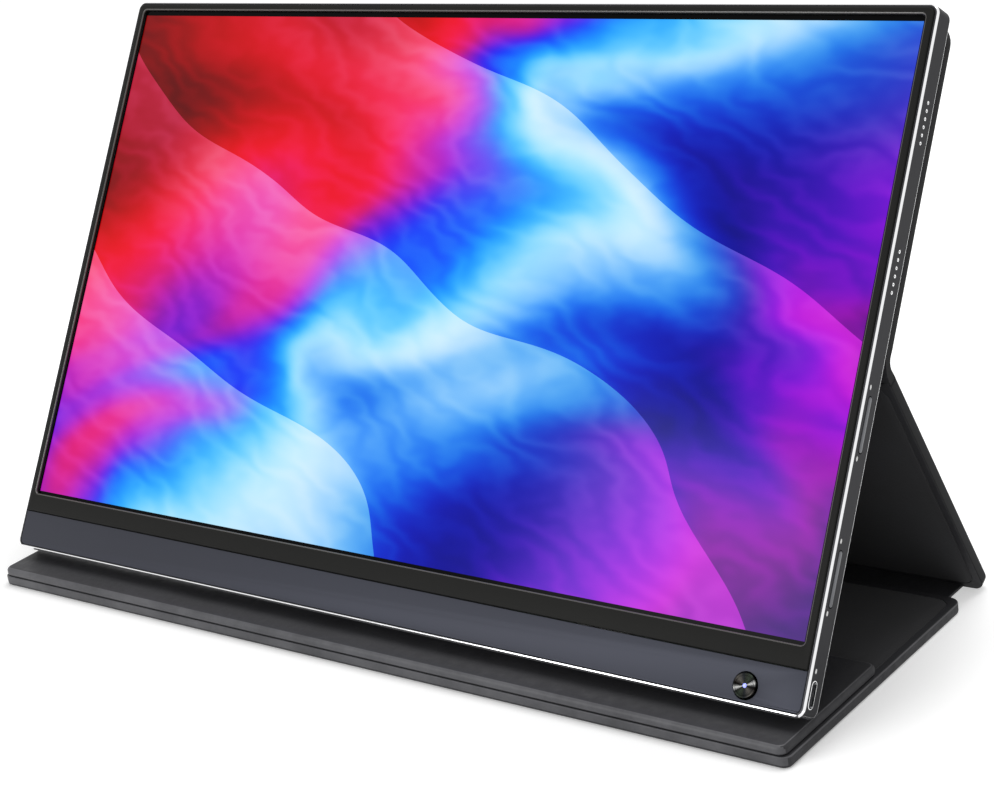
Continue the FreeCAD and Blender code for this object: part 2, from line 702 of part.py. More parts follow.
nodes["front_fold_strip"] = bent_strip(front_fold, -90, 180, front_fold_bend, front_fold_thickness,
                                       front_fold_lip, flap_width - 2 * fold_corner)

for name, shape in nodes.items():
    shape.exportStep("parts/" + name + ".step")
print("nodes", len(nodes))
print("crease at", crease, "foot fold at", foot, "front fold at", front_fold)
print("strut opens by", strut_open_deg, "crease flattens by", crease_turn_deg)
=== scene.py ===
import json
import math
import bmesh
import bpy
from mathutils import Matrix, Vector


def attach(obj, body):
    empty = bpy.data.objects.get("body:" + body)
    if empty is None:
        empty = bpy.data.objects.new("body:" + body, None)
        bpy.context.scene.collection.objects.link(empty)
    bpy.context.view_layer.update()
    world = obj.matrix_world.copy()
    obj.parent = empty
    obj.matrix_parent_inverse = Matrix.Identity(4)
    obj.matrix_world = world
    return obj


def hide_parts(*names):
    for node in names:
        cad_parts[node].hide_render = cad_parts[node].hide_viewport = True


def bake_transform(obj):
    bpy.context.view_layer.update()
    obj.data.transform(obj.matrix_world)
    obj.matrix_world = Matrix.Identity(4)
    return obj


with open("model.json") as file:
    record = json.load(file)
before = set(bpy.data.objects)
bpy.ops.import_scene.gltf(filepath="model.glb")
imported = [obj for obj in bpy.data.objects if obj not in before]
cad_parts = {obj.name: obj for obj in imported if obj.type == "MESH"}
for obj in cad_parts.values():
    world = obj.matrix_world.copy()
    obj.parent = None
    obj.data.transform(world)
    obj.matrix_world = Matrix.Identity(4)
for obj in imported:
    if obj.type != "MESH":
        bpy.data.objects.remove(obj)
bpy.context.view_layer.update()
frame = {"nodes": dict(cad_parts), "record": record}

# Studio
# White paper lies under the object and runs out of sight, as in a catalogue picture. A broad soft box
# hangs overhead and another fills from the front left. The camera stands to the right of the screen
# and a little above it, with a long lens.
MM = 0.001
CAMERA_PLACE = Vector((506.8, -553.4, 344.9)) * MM
CAMERA_YAW = math.radians(40.28)
CAMERA_PITCH = math.radians(19.95)
CAMERA_ROLL = math.radians(8.41)
CAMERA_CLIP = 10.0 * MM
FOCAL_PIXELS = 2279.0
PHOTO_WIDTH = 995.0
SENSOR_WIDTH = 36.0
FLOOR_SIZE = 30.0
PAPER_COLOUR = "#f4f4f4"
STUDIO_WHITE = "#ffffff"
SHADOW_CENTRE = (-0.02, -0.2, 0.0)
SHADOW_NEAR = 0.2
SHADOW_FAR = 0.4
GLOW_NEAR = 0.17
GLOW_FAR = 0.56
AIR_LIGHT = 0.48
AIR_SEEN = 1.0
SOFT_BOX_SIZE = 0.8
SOFT_BOXES = (("overhead_soft_box", (0.05, 0.25, 1.35), (0, 0, 0.08), 8.5),
              ("front_fill_soft_box", (-0.5, -1.3, 0.55), (0, 0, 0.1), 8.0))


def linear(hex_code):
    """A colour written in sRGB hex, as linear light."""
    values = []
    for start in (1, 3, 5):
        value = int(hex_code[start:start + 2], 16) / 255
        values.append(value / 12.92 if value <= 0.04045 else ((value + 0.055) / 1.055) ** 2.4)
    return (*values, 1.0)


def add_node(tree, kind, inputs=None, **settings):
    """Add a node, set its settings, and set or link its input sockets."""
    node = tree.nodes.new(kind)
    for name, value in settings.items():
        setattr(node, name, value)
    for socket, value in (inputs or {}).items():
        if isinstance(value, bpy.types.NodeSocket):
            tree.links.new(value, node.inputs[socket])
        else:
            node.inputs[socket].default_value = value
    return node


def new_material(name):
    """An empty material and its node tree."""
    material = bpy.data.materials.new(name)
    material.use_nodes = True
    material.node_tree.nodes.clear()
    return material, material.node_tree


def seen_by_eye(tree):
    """One for rays that the camera, a reflection or clear glass sees, and zero for rays that only light."""
    path = add_node(tree, "ShaderNodeLightPath")
    direct = add_node(tree, "ShaderNodeMath", {
        0: path.outputs["Is Camera Ray"], 1: path.outputs["Is Glossy Ray"]}, operation="ADD")
    return add_node(tree, "ShaderNodeMath", {
        0: direct.outputs[0], 1: path.outputs["Is Transmission Ray"]}, operation="ADD", use_clamp=True)


forward = Vector((-math.sin(CAMERA_YAW) * math.cos(CAMERA_PITCH),
                  math.cos(CAMERA_YAW) * math.cos(CAMERA_PITCH), -math.sin(CAMERA_PITCH)))
level_right = Vector((math.cos(CAMERA_YAW), math.sin(CAMERA_YAW), 0))
level_down = forward.cross(level_right)
image_right = math.cos(CAMERA_ROLL) * level_right + math.sin(CAMERA_ROLL) * level_down
image_down = -math.sin(CAMERA_ROLL) * level_right + math.cos(CAMERA_ROLL) * level_down
camera_data = bpy.data.cameras.new("studio_camera")
camera_data.sensor_width = SENSOR_WIDTH
camera_data.lens = FOCAL_PIXELS * SENSOR_WIDTH / PHOTO_WIDTH
camera_data.clip_start = CAMERA_CLIP
camera = bpy.data.objects.new("studio_camera", camera_data)
turn = Matrix((image_right, -image_down, -forward)).transposed()
camera.matrix_world = Matrix.Translation(CAMERA_PLACE) @ turn.to_4x4()
bpy.context.scene.collection.objects.link(camera)
bpy.context.scene.camera = camera
bpy.context.scene.view_settings.view_transform = "Standard"

# Paper: matt white. What the eye sees of it also glows, least near the object, so that the shadow stays
# and the paper further off is white
paper, tree = new_material("paper_sweep_matt")
paper_seen = seen_by_eye(tree)
place = add_node(tree, "ShaderNodeTexCoord")
reach = add_node(tree, "ShaderNodeVectorMath", {
    0: place.outputs["Object"], 1: SHADOW_CENTRE}, operation="DISTANCE")
glow_level = add_node(tree, "ShaderNodeMapRange", {
    "Value": reach.outputs["Value"], "From Min": SHADOW_NEAR, "From Max": SHADOW_FAR,
    "To Min": GLOW_NEAR, "To Max": GLOW_FAR}, interpolation_type="SMOOTHSTEP")
glow_strength = add_node(tree, "ShaderNodeMath", {
    0: paper_seen.outputs[0], 1: glow_level.outputs[0]}, operation="MULTIPLY")
paper_surface = add_node(tree, "ShaderNodeBsdfDiffuse", {"Color": linear(PAPER_COLOUR)})
paper_glow = add_node(tree, "ShaderNodeEmission", {
    "Color": linear(STUDIO_WHITE), "Strength": glow_strength.outputs[0]})
paper_sum = add_node(tree, "ShaderNodeAddShader", {0: paper_surface.outputs[0], 1: paper_glow.outputs[0]})
add_node(tree, "ShaderNodeOutputMaterial", {"Surface": paper_sum.outputs[0]})
bpy.ops.object.select_all(action="DESELECT")
bpy.ops.mesh.primitive_plane_add(size=FLOOR_SIZE, location=(0, 0, 0))
floor = bpy.context.object
floor.name = "paper_floor"
floor.data.materials.append(paper)

world = bpy.data.worlds.new("studio_air")
world.use_nodes = True
tree = world.node_tree
tree.nodes.clear()
air_seen = seen_by_eye(tree)
air_strength = add_node(tree, "ShaderNodeMapRange", {
    "Value": air_seen.outputs[0], "To Min": AIR_LIGHT, "To Max": AIR_SEEN})
air = add_node(tree, "ShaderNodeBackground", {
    "Color": linear(STUDIO_WHITE), "Strength": air_strength.outputs[0]})
add_node(tree, "ShaderNodeOutputWorld", {"Surface": air.outputs[0]})
bpy.context.scene.world = world

for box_name, box_place, target, watts in SOFT_BOXES:
    lamp = bpy.data.lights.new(box_name, "AREA")
    lamp.shape = "SQUARE"
    lamp.size = SOFT_BOX_SIZE
    lamp.energy = watts
    holder = bpy.data.objects.new(box_name, lamp)
    holder.location = box_place
    holder.rotation_euler = (Vector(target) - Vector(box_place)).to_track_quat("-Z", "Y").to_euler()
    bpy.context.scene.collection.objects.link(holder)

# Base panel of the cover
# A stiff fibre board wrapped in dark grey leatherette, whose edge is turned in over the top.
# It lies on the table and carries the rest; a smooth lining is glued into the turned-in border.
COVER_WIDTH = 353.0 * MM
BASE_DEPTH = 114.0 * MM
BASE_THICKNESS = 4.0 * MM
FOLD_CORNER = 3.0 * MM
SPINE_CORNER = 4.5 * MM
PANEL_RIM = 2.6 * MM
LINING_THICKNESS = 0.6 * MM
LINING_GAP = 0.12 * MM
OUTER_ROUND = 1.1 * MM
INNER_ROUND = 0.45 * MM
LINING_ROUND = 0.3 * MM
CORE_CORNER = 5.0 * MM
SKIN_DARK = "#2c2c2e"
SKIN_LIGHT = "#3a3a3d"
SKIN_EDGE_HIGHLIGHT = "#626265"
SKIN_GRAIN = 1.1 * MM
SKIN_CREASES = SKIN_GRAIN / 0.35
SKIN_RELIEF = 0.14 * MM
SKIN_MOTTLE = 26.0 * MM
LINING_DARK = "#121215"
LINING_LIGHT = "#1d1d22"
LINING_NAP = 0.7 * MM
LINING_CLOUD = LINING_NAP / 0.03
LINING_RELIEF = 0.1 * MM
# Places nearer than this count as one
NEAR = 0.01 * MM
# An edge or a normal with this share along an axis lies along it
STRAIGHT = 0.999
# A wrap's face that looks up or down by less than this is part of its edge
LEVEL = 0.98
# A face of the front edge looks forward by more than this
BASE_FORWARD = 0.6
# Faces that meet at a smaller turn than this, in radians, are shaded as one
SMOOTH_TURN = 0.6


def fresh_box(name, low, high):
    """A box primitive between two corners, at its size and place."""
    bpy.ops.object.select_all(action="DESELECT")
    middle = [(a + b) / 2 for a, b in zip(low, high)]
    bpy.ops.mesh.primitive_cube_add(size=1, location=middle)
    piece = bpy.context.object
    piece.name = name
    piece.data.name = name
    piece.scale = [b - a for a, b in zip(low, high)]
    bpy.ops.object.transform_apply(location=True, rotation=True, scale=True)
    return piece


def only(piece):
    """Select one piece alone and make it the active one."""
    bpy.ops.object.select_all(action="DESELECT")
    piece.select_set(True)
    bpy.context.view_layer.objects.active = piece


def pick(piece, kind, test):
    """Open a piece in edit mode with only the edges or faces that pass a test selected."""
    only(piece)
    bpy.ops.object.mode_set(mode="EDIT")
    bpy.ops.mesh.select_mode(type=kind)
    bpy.ops.mesh.select_all(action="DESELECT")
    mesh = bmesh.from_edit_mesh(piece.data)
    for element in (mesh.edges if kind == "EDGE" else mesh.faces):
        if test(element):
            element.select_set(True)
    bmesh.update_edit_mesh(piece.data)


def round_edges(piece, test, radius, steps):
    """Round the edges that pass a test."""
    pick(piece, "EDGE", test)
    bpy.ops.mesh.bevel(offset=radius, segments=steps, profile=0.5, affect="EDGES")
    bpy.ops.object.mode_set(mode="OBJECT")


def runs_along(edge, axis):
    """Whether an edge runs along an axis."""
    run = edge.verts[1].co - edge.verts[0].co
    return abs(run[axis]) > run.length * STRAIGHT


def lies_at(edge, axis, value):
    """Whether both ends of an edge lie at one place along an axis."""
    return all(abs(vert.co[axis] - value) < NEAR for vert in edge.verts)


def cut_away(piece, cutter):
    """Subtract a cutter from a piece and drop the cutter."""
    only(piece)
    modifier = piece.modifiers.new("cut", "BOOLEAN")
    modifier.operation = "DIFFERENCE"
    modifier.solver = "EXACT"
    modifier.object = cutter
    bpy.ops.object.modifier_apply(modifier=modifier.name)
    bpy.data.objects.remove(cutter)


def place_piece(piece, place):
    """Turn and move a mesh into its place; the object itself stays at the origin."""
    piece.data.transform(place)
    piece.data.update()


def finish_shape(piece, body, replaced, material, smooth_turn=SMOOTH_TURN):
    """Smooth a finished mesh, give it its material, hang it on its body or leave it unhung, and hide the
    solid it replaces.
    """
    only(piece)
    bpy.ops.object.shade_smooth_by_angle(angle=smooth_turn)
    piece.data.materials.clear()
    piece.data.materials.append(material)
    if body is not None:
        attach(piece, body)
    if replaced:
        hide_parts(replaced)


def second_finish(piece, material, chosen):
    """Give another material to the faces that a list of yes and no chooses."""
    piece.data.materials.append(material)
    for face, is_chosen in zip(piece.data.polygons, chosen):
        face.material_index = 1 if is_chosen else 0


def panel_wrap(name, size, corners, outer_round):
    """A panel's leatherette wrap, outer face down, with a shallow bed inside its turned-in border."""
    width, length, thickness = size
    near_corner, far_corner = corners
    piece = fresh_box(name, (-width / 2, 0, 0), (width / 2, length, thickness))
    round_edges(piece, lambda e: runs_along(e, 2) and lies_at(e, 1, 0), near_corner, steps=10)
    round_edges(piece, lambda e: runs_along(e, 2) and lies_at(e, 1, length), far_corner, steps=10)
    round_edges(piece, lambda e: lies_at(e, 2, thickness), INNER_ROUND, steps=5)
    round_edges(piece, lambda e: lies_at(e, 2, 0), outer_round, steps=6)
    bed = fresh_box(name + "_bed", (-width / 2 + PANEL_RIM, PANEL_RIM, thickness - LINING_THICKNESS),
                    (width / 2 - PANEL_RIM, length - PANEL_RIM, thickness + LINING_THICKNESS))
    round_edges(bed, lambda e: runs_along(e, 2), CORE_CORNER + LINING_GAP, steps=8)
    cut_away(piece, bed)
    return piece


def panel_lining(name, size):
    """A panel's lining, a thin sheet bedded inside the border with softened edges."""
    width, length, thickness = size
    edge = PANEL_RIM + LINING_GAP
    piece = fresh_box(name, (-width / 2 + edge, edge, thickness - LINING_THICKNESS),
                      (width / 2 - edge, length - edge, thickness))
    round_edges(piece, lambda e: runs_along(e, 2), CORE_CORNER, steps=8)
    round_edges(piece, lambda e: lies_at(e, 2, thickness), LINING_ROUND, steps=3)
    return piece


def cover_panel(name, body, place, size, corners, edge_light_and_shade, takes_edge_light_and_shade, outer_round=OUTER_ROUND):
    """A panel on its body: a wrap, never below the table, whose chosen edge faces take the painted highlight
    or painted shade passed in, and a lining.
    """
    wrap = panel_wrap(name + "_wrap", size, corners, outer_round)
    chosen = [abs(face.normal.z) < LEVEL and takes_edge_light_and_shade(face.center, face.normal)
              for face in wrap.data.polygons]
    place_piece(wrap, place)
    for vert in wrap.data.vertices:
        vert.co.z = max(0.0, vert.co.z)
    finish_shape(wrap, body, name + "_skin", leatherette)
    second_finish(wrap, edge_light_and_shade, chosen)
    lining = panel_lining(name + "_inside", size)
    place_piece(lining, place)
    finish_shape(lining, body, name + "_lining", microfibre)


def base_highlit(spot, out):
    """The turned-in round all about and the upper part of the front edge, which are painted paler as
    highlight.
    """
    return spot.z > BASE_THICKNESS - INNER_ROUND or out.y < -BASE_FORWARD and spot.z > OUTER_ROUND


# Leatherette: a polyurethane film embossed with a fine pebble grain, satin, with a slight mottle in its grey
leatherette, tree = new_material("polyurethane_leatherette_embossed")
place = add_node(tree, "ShaderNodeTexCoord")
mottle = add_node(tree, "ShaderNodeTexNoise", {
    "Vector": place.outputs["Object"], "Scale": 1 / SKIN_MOTTLE, "Detail": 4.0, "Roughness": 0.6})
pebbles = add_node(tree, "ShaderNodeTexVoronoi", {
    "Vector": place.outputs["Object"], "Scale": 1 / SKIN_GRAIN}, feature="SMOOTH_F1")
creases = add_node(tree, "ShaderNodeTexNoise", {
    "Vector": place.outputs["Object"], "Scale": 1 / SKIN_CREASES, "Detail": 3.0})
skin_colour = add_node(tree, "ShaderNodeMix", {
    "Factor": mottle.outputs["Fac"], 6: linear(SKIN_DARK), 7: linear(SKIN_LIGHT)}, data_type="RGBA")
grain = add_node(tree, "ShaderNodeMath", {
    0: pebbles.outputs["Distance"], 1: creases.outputs["Fac"]}, operation="MULTIPLY")
skin_gloss = add_node(tree, "ShaderNodeMapRange", {
    "Value": creases.outputs["Fac"], "From Min": 0.3, "From Max": 0.7, "To Min": 0.46, "To Max": 0.62})
skin_relief = add_node(tree, "ShaderNodeBump", {
    "Height": grain.outputs[0], "Strength": 0.55, "Distance": SKIN_RELIEF}, invert=True)
skin = add_node(tree, "ShaderNodeBsdfPrincipled", {
    "Base Color": skin_colour.outputs[2], "Roughness": skin_gloss.outputs[0], "IOR": 1.5,
    "Specular IOR Level": 0.22, "Normal": skin_relief.outputs[0]})
add_node(tree, "ShaderNodeOutputMaterial", {"Surface": skin.outputs[0]})

# Edge highlight: the same film pulled tight round a board's edge, so it is smoother and a little glossier;
# its colour is painted paler as a highlight where edges and fronts catch the light
edge_highlight, tree = new_material("polyurethane_leatherette_painted_edge_highlight")
place = add_node(tree, "ShaderNodeTexCoord")
highlight_mottle = add_node(tree, "ShaderNodeTexNoise", {
    "Vector": place.outputs["Object"], "Scale": 1 / SKIN_MOTTLE, "Detail": 5.0, "Roughness": 0.7})
highlight_share = add_node(tree, "ShaderNodeMapRange", {
    "Value": highlight_mottle.outputs["Fac"], "From Min": 0.25, "From Max": 0.75})
highlight_colour = add_node(tree, "ShaderNodeMix", {
    "Factor": highlight_share.outputs[0], 6: linear(SKIN_LIGHT), 7: linear(SKIN_EDGE_HIGHLIGHT)}, data_type="RGBA")
highlight_surface = add_node(tree, "ShaderNodeBsdfPrincipled", {
    "Base Color": highlight_colour.outputs[2], "Roughness": 0.42, "IOR": 1.5, "Specular IOR Level": 0.3})
add_node(tree, "ShaderNodeOutputMaterial", {"Surface": highlight_surface.outputs[0]})

# Lining: brushed microfibre, near black with a faint blue cast, matt with a soft nap
microfibre, tree = new_material("polyester_microfibre_brushed")
place = add_node(tree, "ShaderNodeTexCoord")
nap = add_node(tree, "ShaderNodeTexNoise", {
    "Vector": place.outputs["Object"], "Scale": 1 / LINING_NAP, "Detail": 3.0, "Distortion": 0.6})
cloud = add_node(tree, "ShaderNodeTexNoise", {
    "Vector": place.outputs["Object"], "Scale": 1 / LINING_CLOUD, "Detail": 2.0})
nap_mix = add_node(tree, "ShaderNodeMath", {
    0: nap.outputs["Fac"], 1: cloud.outputs["Fac"]}, operation="MULTIPLY")
nap_share = add_node(tree, "ShaderNodeMapRange", {
    "Value": nap_mix.outputs[0], "From Min": 0.15, "From Max": 0.4})
lining_colour = add_node(tree, "ShaderNodeMix", {
    "Factor": nap_share.outputs[0], 6: linear(LINING_DARK), 7: linear(LINING_LIGHT)}, data_type="RGBA")
nap_relief = add_node(tree, "ShaderNodeBump", {
    "Height": nap.outputs["Fac"], "Strength": 0.3, "Distance": LINING_RELIEF})
lining_surface = add_node(tree, "ShaderNodeBsdfPrincipled", {
    "Base Color": lining_colour.outputs[2], "Roughness": 0.78, "Sheen Weight": 0.12, "Sheen Roughness": 0.5,
    "Normal": nap_relief.outputs[0]})
add_node(tree, "ShaderNodeOutputMaterial", {"Surface": lining_surface.outputs[0]})

base_place = Matrix.Translation((0, -BASE_DEPTH / 2, 0))
cover_panel("base", "base", base_place, (COVER_WIDTH, BASE_DEPTH, BASE_THICKNESS),
            (FOLD_CORNER, SPINE_CORNER), edge_highlight, base_highlit)

# Front flap of the cover
# The same wrapped board, thinner and shorter, folded back over the base with its outer skin up.
# Its free rear edge lies loose on the base; the monitor's lower edge stands on it.
FLAP_WIDTH = 351.0 * MM
FLAP_DEPTH = 58.0 * MM
FLAP_THICKNESS = 3.0 * MM
FLAP_GAP = 0.4 * MM
FLAP_ROUND = 1.5 * MM
FLAP_OUTWARD = 0.8
FLAP_FORWARD = 0.5


def flap_highlit(spot, out):
    """The start of the round next to the outer skin and the front edge up to the turned-in round, painted
    paler as highlight.
    """
    return out.z < -FLAP_OUTWARD or out.y < -FLAP_FORWARD and spot.z < FLAP_THICKNESS - INNER_ROUND


flap_top = BASE_THICKNESS + FLAP_GAP + FLAP_THICKNESS
flap_place = Matrix.Translation((0, -BASE_DEPTH / 2, flap_top)) @ Matrix.Rotation(math.pi, 4, "Y")
cover_panel("flap", "flap", flap_place, (FLAP_WIDTH, FLAP_DEPTH, FLAP_THICKNESS),
            (FOLD_CORNER, FOLD_CORNER), edge_highlight, flap_highlit, FLAP_ROUND)

# Strut and upper back panel of the cover
# Two more wrapped boards, their sides painted near black as shade: the strut stands on the table behind and
# leans forward
# to the crease, and the upper back panel lies flat against the monitor's back, held there by its magnets.
PANEL_THICKNESS = 4.4 * MM
FOOT_CORNER = 4.5 * MM
PANEL_CORNER = 8.0 * MM
CREASE_CORNER = 1.6 * MM
FOOT = Vector((0, 76.4, 0.8)) * MM
FOOT_GAP = 0.6 * MM
FOLD_GAP = 6.0 * MM
CREASE = Vector((0, 20.41124, 99.66049)) * MM
STRUT_OPEN = math.radians(118.81862)
LEAN = math.radians(32.0)
REST = Vector((0, -40.0, 7.7)) * MM
COVER_GAP = 0.3 * MM
CREASE_HEIGHT = 110.0 * MM
BACK_TOP = 220.0 * MM
SIDEWAYS = 0.5
SIDE_SHADE_DARK = "#131314"
SIDE_SHADE_LIGHT = "#1d1d1f"


def on_side(spot, out):
    """Any face that looks to the left or to the right."""
    return abs(out.x) > SIDEWAYS


# Painted shade: the panels' sides and the crease roll's ends are coloured near black, as shade on faces
# turned from the light, nearly matt and darker than the skin round it
side_shade, tree = new_material("painted_shade_side_black")
place = add_node(tree, "ShaderNodeTexCoord")
streaks = add_node(tree, "ShaderNodeTexNoise", {
    "Vector": place.outputs["Object"], "Scale": 1 / SKIN_MOTTLE, "Detail": 4.0})
side_shade_colour = add_node(tree, "ShaderNodeMix", {
    "Factor": streaks.outputs["Fac"], 6: linear(SIDE_SHADE_DARK), 7: linear(SIDE_SHADE_LIGHT)}, data_type="RGBA")
side_shade_surface = add_node(tree, "ShaderNodeBsdfPrincipled", {
    "Base Color": side_shade_colour.outputs[2], "Roughness": 0.6, "Specular IOR Level": 0.1})
add_node(tree, "ShaderNodeOutputMaterial", {"Surface": side_shade_surface.outputs[0]})

strut_reach = (FOOT - CREASE).length
strut_length = math.sqrt(strut_reach ** 2 - (PANEL_THICKNESS / 2 - FOOT.z) ** 2)
strut_panel = strut_length - FOOT_GAP - FOLD_GAP
strut_place = (Matrix.Translation(FOOT) @ Matrix.Rotation(STRUT_OPEN, 4, "X")
               @ Matrix.Translation((0, FOOT_GAP, -FOOT.z)))
cover_panel("strut", "strut", strut_place, (COVER_WIDTH, strut_panel, PANEL_THICKNESS),
            (FOOT_CORNER, CREASE_CORNER), side_shade, on_side)

monitor_place = Matrix.Translation(REST) @ Matrix.Rotation(-LEAN, 4, "X")
back_low = CREASE_HEIGHT + FOLD_GAP
back_place = (monitor_place @ Matrix.Translation((0, COVER_GAP + PANEL_THICKNESS, back_low))
              @ Matrix.Rotation(math.pi / 2, 4, "X"))
cover_panel("back", "back_panel", back_place, (COVER_WIDTH, BACK_TOP - back_low, PANEL_THICKNESS),
            (CREASE_CORNER, PANEL_CORNER), side_shade, on_side)

# Fold strips of the cover
# Bare skin between the boards: a soft roll at the crease, a flat spine on the table behind the base,
# and a tucked fold along the front between base and flap.
CREASE_BEND = 7.0 * MM
CREASE_STRIP = 3.6 * MM
CREASE_WAIST = 0.22
CREASE_INSET = 0.2 * MM
CREASE_LAP = 1.3 * MM
CREASE_TURN = math.radians(60.81862)
SPINE_INSET = 8.0 * MM
SPINE_LAP = 1.0 * MM
SPINE_STRIP = 0.9 * MM
SPINE_LIFT = 0.08 * MM
SPINE_SLACK_START = 74.0 * MM
SPINE_END = 77.5 * MM
FOLD_AXIS = Vector((0, -57.4, 4.2)) * MM
FOLD_LAP = 0.75 * MM
FOLD_ROOT = 0.62 * MM
FOLD_STRETCH = 1.3
FOLD_FILM = 0.36 * MM
FOLD_SMOOTH = 0.9
FOLD_SHADE_DARK = "#070708"
FOLD_SHADE_LIGHT = "#141415"


def ribbon(name, width, rows):
    """A flat strip divided into rows across the fold and halved along its width, ready to be bent."""
    piece = fresh_box(name, (-width / 2, 0, 0), (width / 2, 1, 1))
    for axis, cuts in ((1, rows - 1), (0, 1)):
        pick(piece, "EDGE", lambda e: runs_along(e, axis))
        bpy.ops.mesh.subdivide(number_cuts=cuts)
        bpy.ops.object.mode_set(mode="OBJECT")
    return piece


def bend_ribbon(piece, path):
    """Move each point of a strip to where the path puts its share along and its share of thickness."""
    for vert in piece.data.vertices:
        y, z = path(vert.co.y, vert.co.z)
        vert.co.y = y
        vert.co.z = z
    piece.data.update()
    pick(piece, "FACE", lambda f: True)
    bpy.ops.mesh.normals_make_consistent(inside=False)
    bpy.ops.object.mode_set(mode="OBJECT")


crease_middle = math.pi - LEAN + CREASE_TURN / 2
crease_reach = CREASE_BEND / math.cos(CREASE_TURN / 2)
crease_centre = (CREASE.y - crease_reach * math.cos(crease_middle),
                 CREASE.z - crease_reach * math.sin(crease_middle))
crease_leg = FOLD_GAP - CREASE_BEND * math.tan(CREASE_TURN / 2) + CREASE_LAP
crease_arc = CREASE_BEND * CREASE_TURN


def crease_path(share, layer):
    """A leg on the back panel, an arc about the crease's centre and a leg on the strut."""
    run = share * (crease_arc + 2 * crease_leg) - crease_leg
    turned = max(0.0, min(1.0, run / crease_arc)) * CREASE_TURN
    spare = run - turned / CREASE_TURN * crease_arc
    angle = math.pi - LEAN + turned
    waist = 1 - CREASE_WAIST * math.sin(math.pi * min(1.0, max(0.0, share))) ** 2
    radius = CREASE_BEND + (layer - 0.5) * CREASE_STRIP * waist
    y = crease_centre[0] + radius * math.cos(angle) - spare * math.sin(angle)
    z = crease_centre[1] + radius * math.sin(angle) + spare * math.cos(angle)
    return y, z


crease_roll = ribbon("crease_roll", COVER_WIDTH - 2 * CREASE_INSET, rows=18)
bend_ribbon(crease_roll, crease_path)
# The roll's ends take the same near-black painted shade as the panels' sides
roll_shade_ends = [on_side(face.center, face.normal) for face in crease_roll.data.polygons]
finish_shape(crease_roll, None, "crease_strip", leatherette, FOLD_SMOOTH)
second_finish(crease_roll, side_shade, roll_shade_ends)
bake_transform(crease_roll)

spine_from = BASE_DEPTH / 2 - SPINE_LAP


def spine_path(share, layer):
    """Flat along the table, then up round the foot fold with the strut's skin, never below the table."""
    flat = spine_from + share * (SPINE_END - spine_from)
    height = SPINE_LIFT + layer * SPINE_STRIP
    eased = max(0.0, min(1.0, (flat - SPINE_SLACK_START) / (SPINE_END - SPINE_SLACK_START)))
    angle = eased * eased * (3 - 2 * eased) * STRUT_OPEN
    y, z = flat - FOOT.y, height - FOOT.z
    return (FOOT.y + y * math.cos(angle) - z * math.sin(angle),
            max(0.0, FOOT.z + y * math.sin(angle) + z * math.cos(angle)))


spine_skin = ribbon("spine_skin", COVER_WIDTH - 2 * SPINE_INSET, rows=40)
bend_ribbon(spine_skin, spine_path)
finish_shape(spine_skin, None, "spine_strip", leatherette, FOLD_SMOOTH)
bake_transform(spine_skin)


def front_fold_path(share, layer):
    """In along the base's edge, round the root of the groove and out along the flap's edge."""
    angle = (share - 0.5) * math.pi
    radius = FOLD_ROOT + (layer - 0.5) * FOLD_FILM
    return (FOLD_AXIS.y + FOLD_LAP + radius * math.cos(angle) * FOLD_STRETCH,
            FOLD_AXIS.z + radius * math.sin(angle))


# Inner film: the leatherette's back, seen only in the depth of the front fold, painted near black there as
# shade, and matt
fold_shade_film, tree = new_material("polyurethane_film_painted_fold_shade")
place = add_node(tree, "ShaderNodeTexCoord")
film_grain = add_node(tree, "ShaderNodeTexNoise", {
    "Vector": place.outputs["Object"], "Scale": 1 / SKIN_GRAIN, "Detail": 2.0})
fold_shade_colour = add_node(tree, "ShaderNodeMix", {
    "Factor": film_grain.outputs["Fac"], 6: linear(FOLD_SHADE_DARK), 7: linear(FOLD_SHADE_LIGHT)}, data_type="RGBA")
fold_shade_surface = add_node(tree, "ShaderNodeBsdfPrincipled", {
    "Base Color": fold_shade_colour.outputs[2], "Roughness": 0.7, "Specular IOR Level": 0.2})
add_node(tree, "ShaderNodeOutputMaterial", {"Surface": fold_shade_surface.outputs[0]})

front_tuck = ribbon("front_tuck", FLAP_WIDTH - 2 * FOLD_CORNER, rows=12)
bend_ribbon(front_tuck, front_fold_path)
finish_shape(front_tuck, None, "front_fold_strip", fold_shade_film, FOLD_SMOOTH)
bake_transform(front_tuck)

# Rear housing of the monitor
# One tray of dark grey anodised aluminium whose wall is the monitor's side, drilled for the speakers,
# slotted for keys and sockets, with a diamond-cut bevel polished bright round its front rim.
# Thin strips of the same mirror metal along the back, at the foot and on the lower corners are painted
# highlights.
HOUSING_DEPTH = 8.5 * MM
HOUSING_BEVEL = 0.6 * MM
BACK_BEVEL = 0.5 * MM
BACK_HIGHLIGHT = 0.12 * MM
MONITOR_HALF = 177.0 * MM
FOOT_HIGHLIGHT = 0.95 * MM
SIDE_BAND = 6.0 * MM
CORNER_HIGHLIGHT = 4.0 * MM
HOUSING_GREY = "#3b3b3d"
HOUSING_DARK = "#2c2c2e"
HOUSING_GLARE = "#dadada"
BRIGHT_CUT_AND_HIGHLIGHT = "#f2f2f3"
BRUSH_LINE = 0.25 * MM
BRUSH_RUN = 18.0 * MM
BRUSH_RELIEF = 0.02 * MM
TOOL_MARK = 2.0 * MM
WELD = 0.0005 * MM
MONITOR_SMOOTH = 0.5
# How far a face looks forward to be straight on or aslant, and how far it looks down or aside to be so
STRAIGHT_ON = 0.9
ASLANT = 0.5
DOWNWARD = 0.7
ASIDE = 0.3


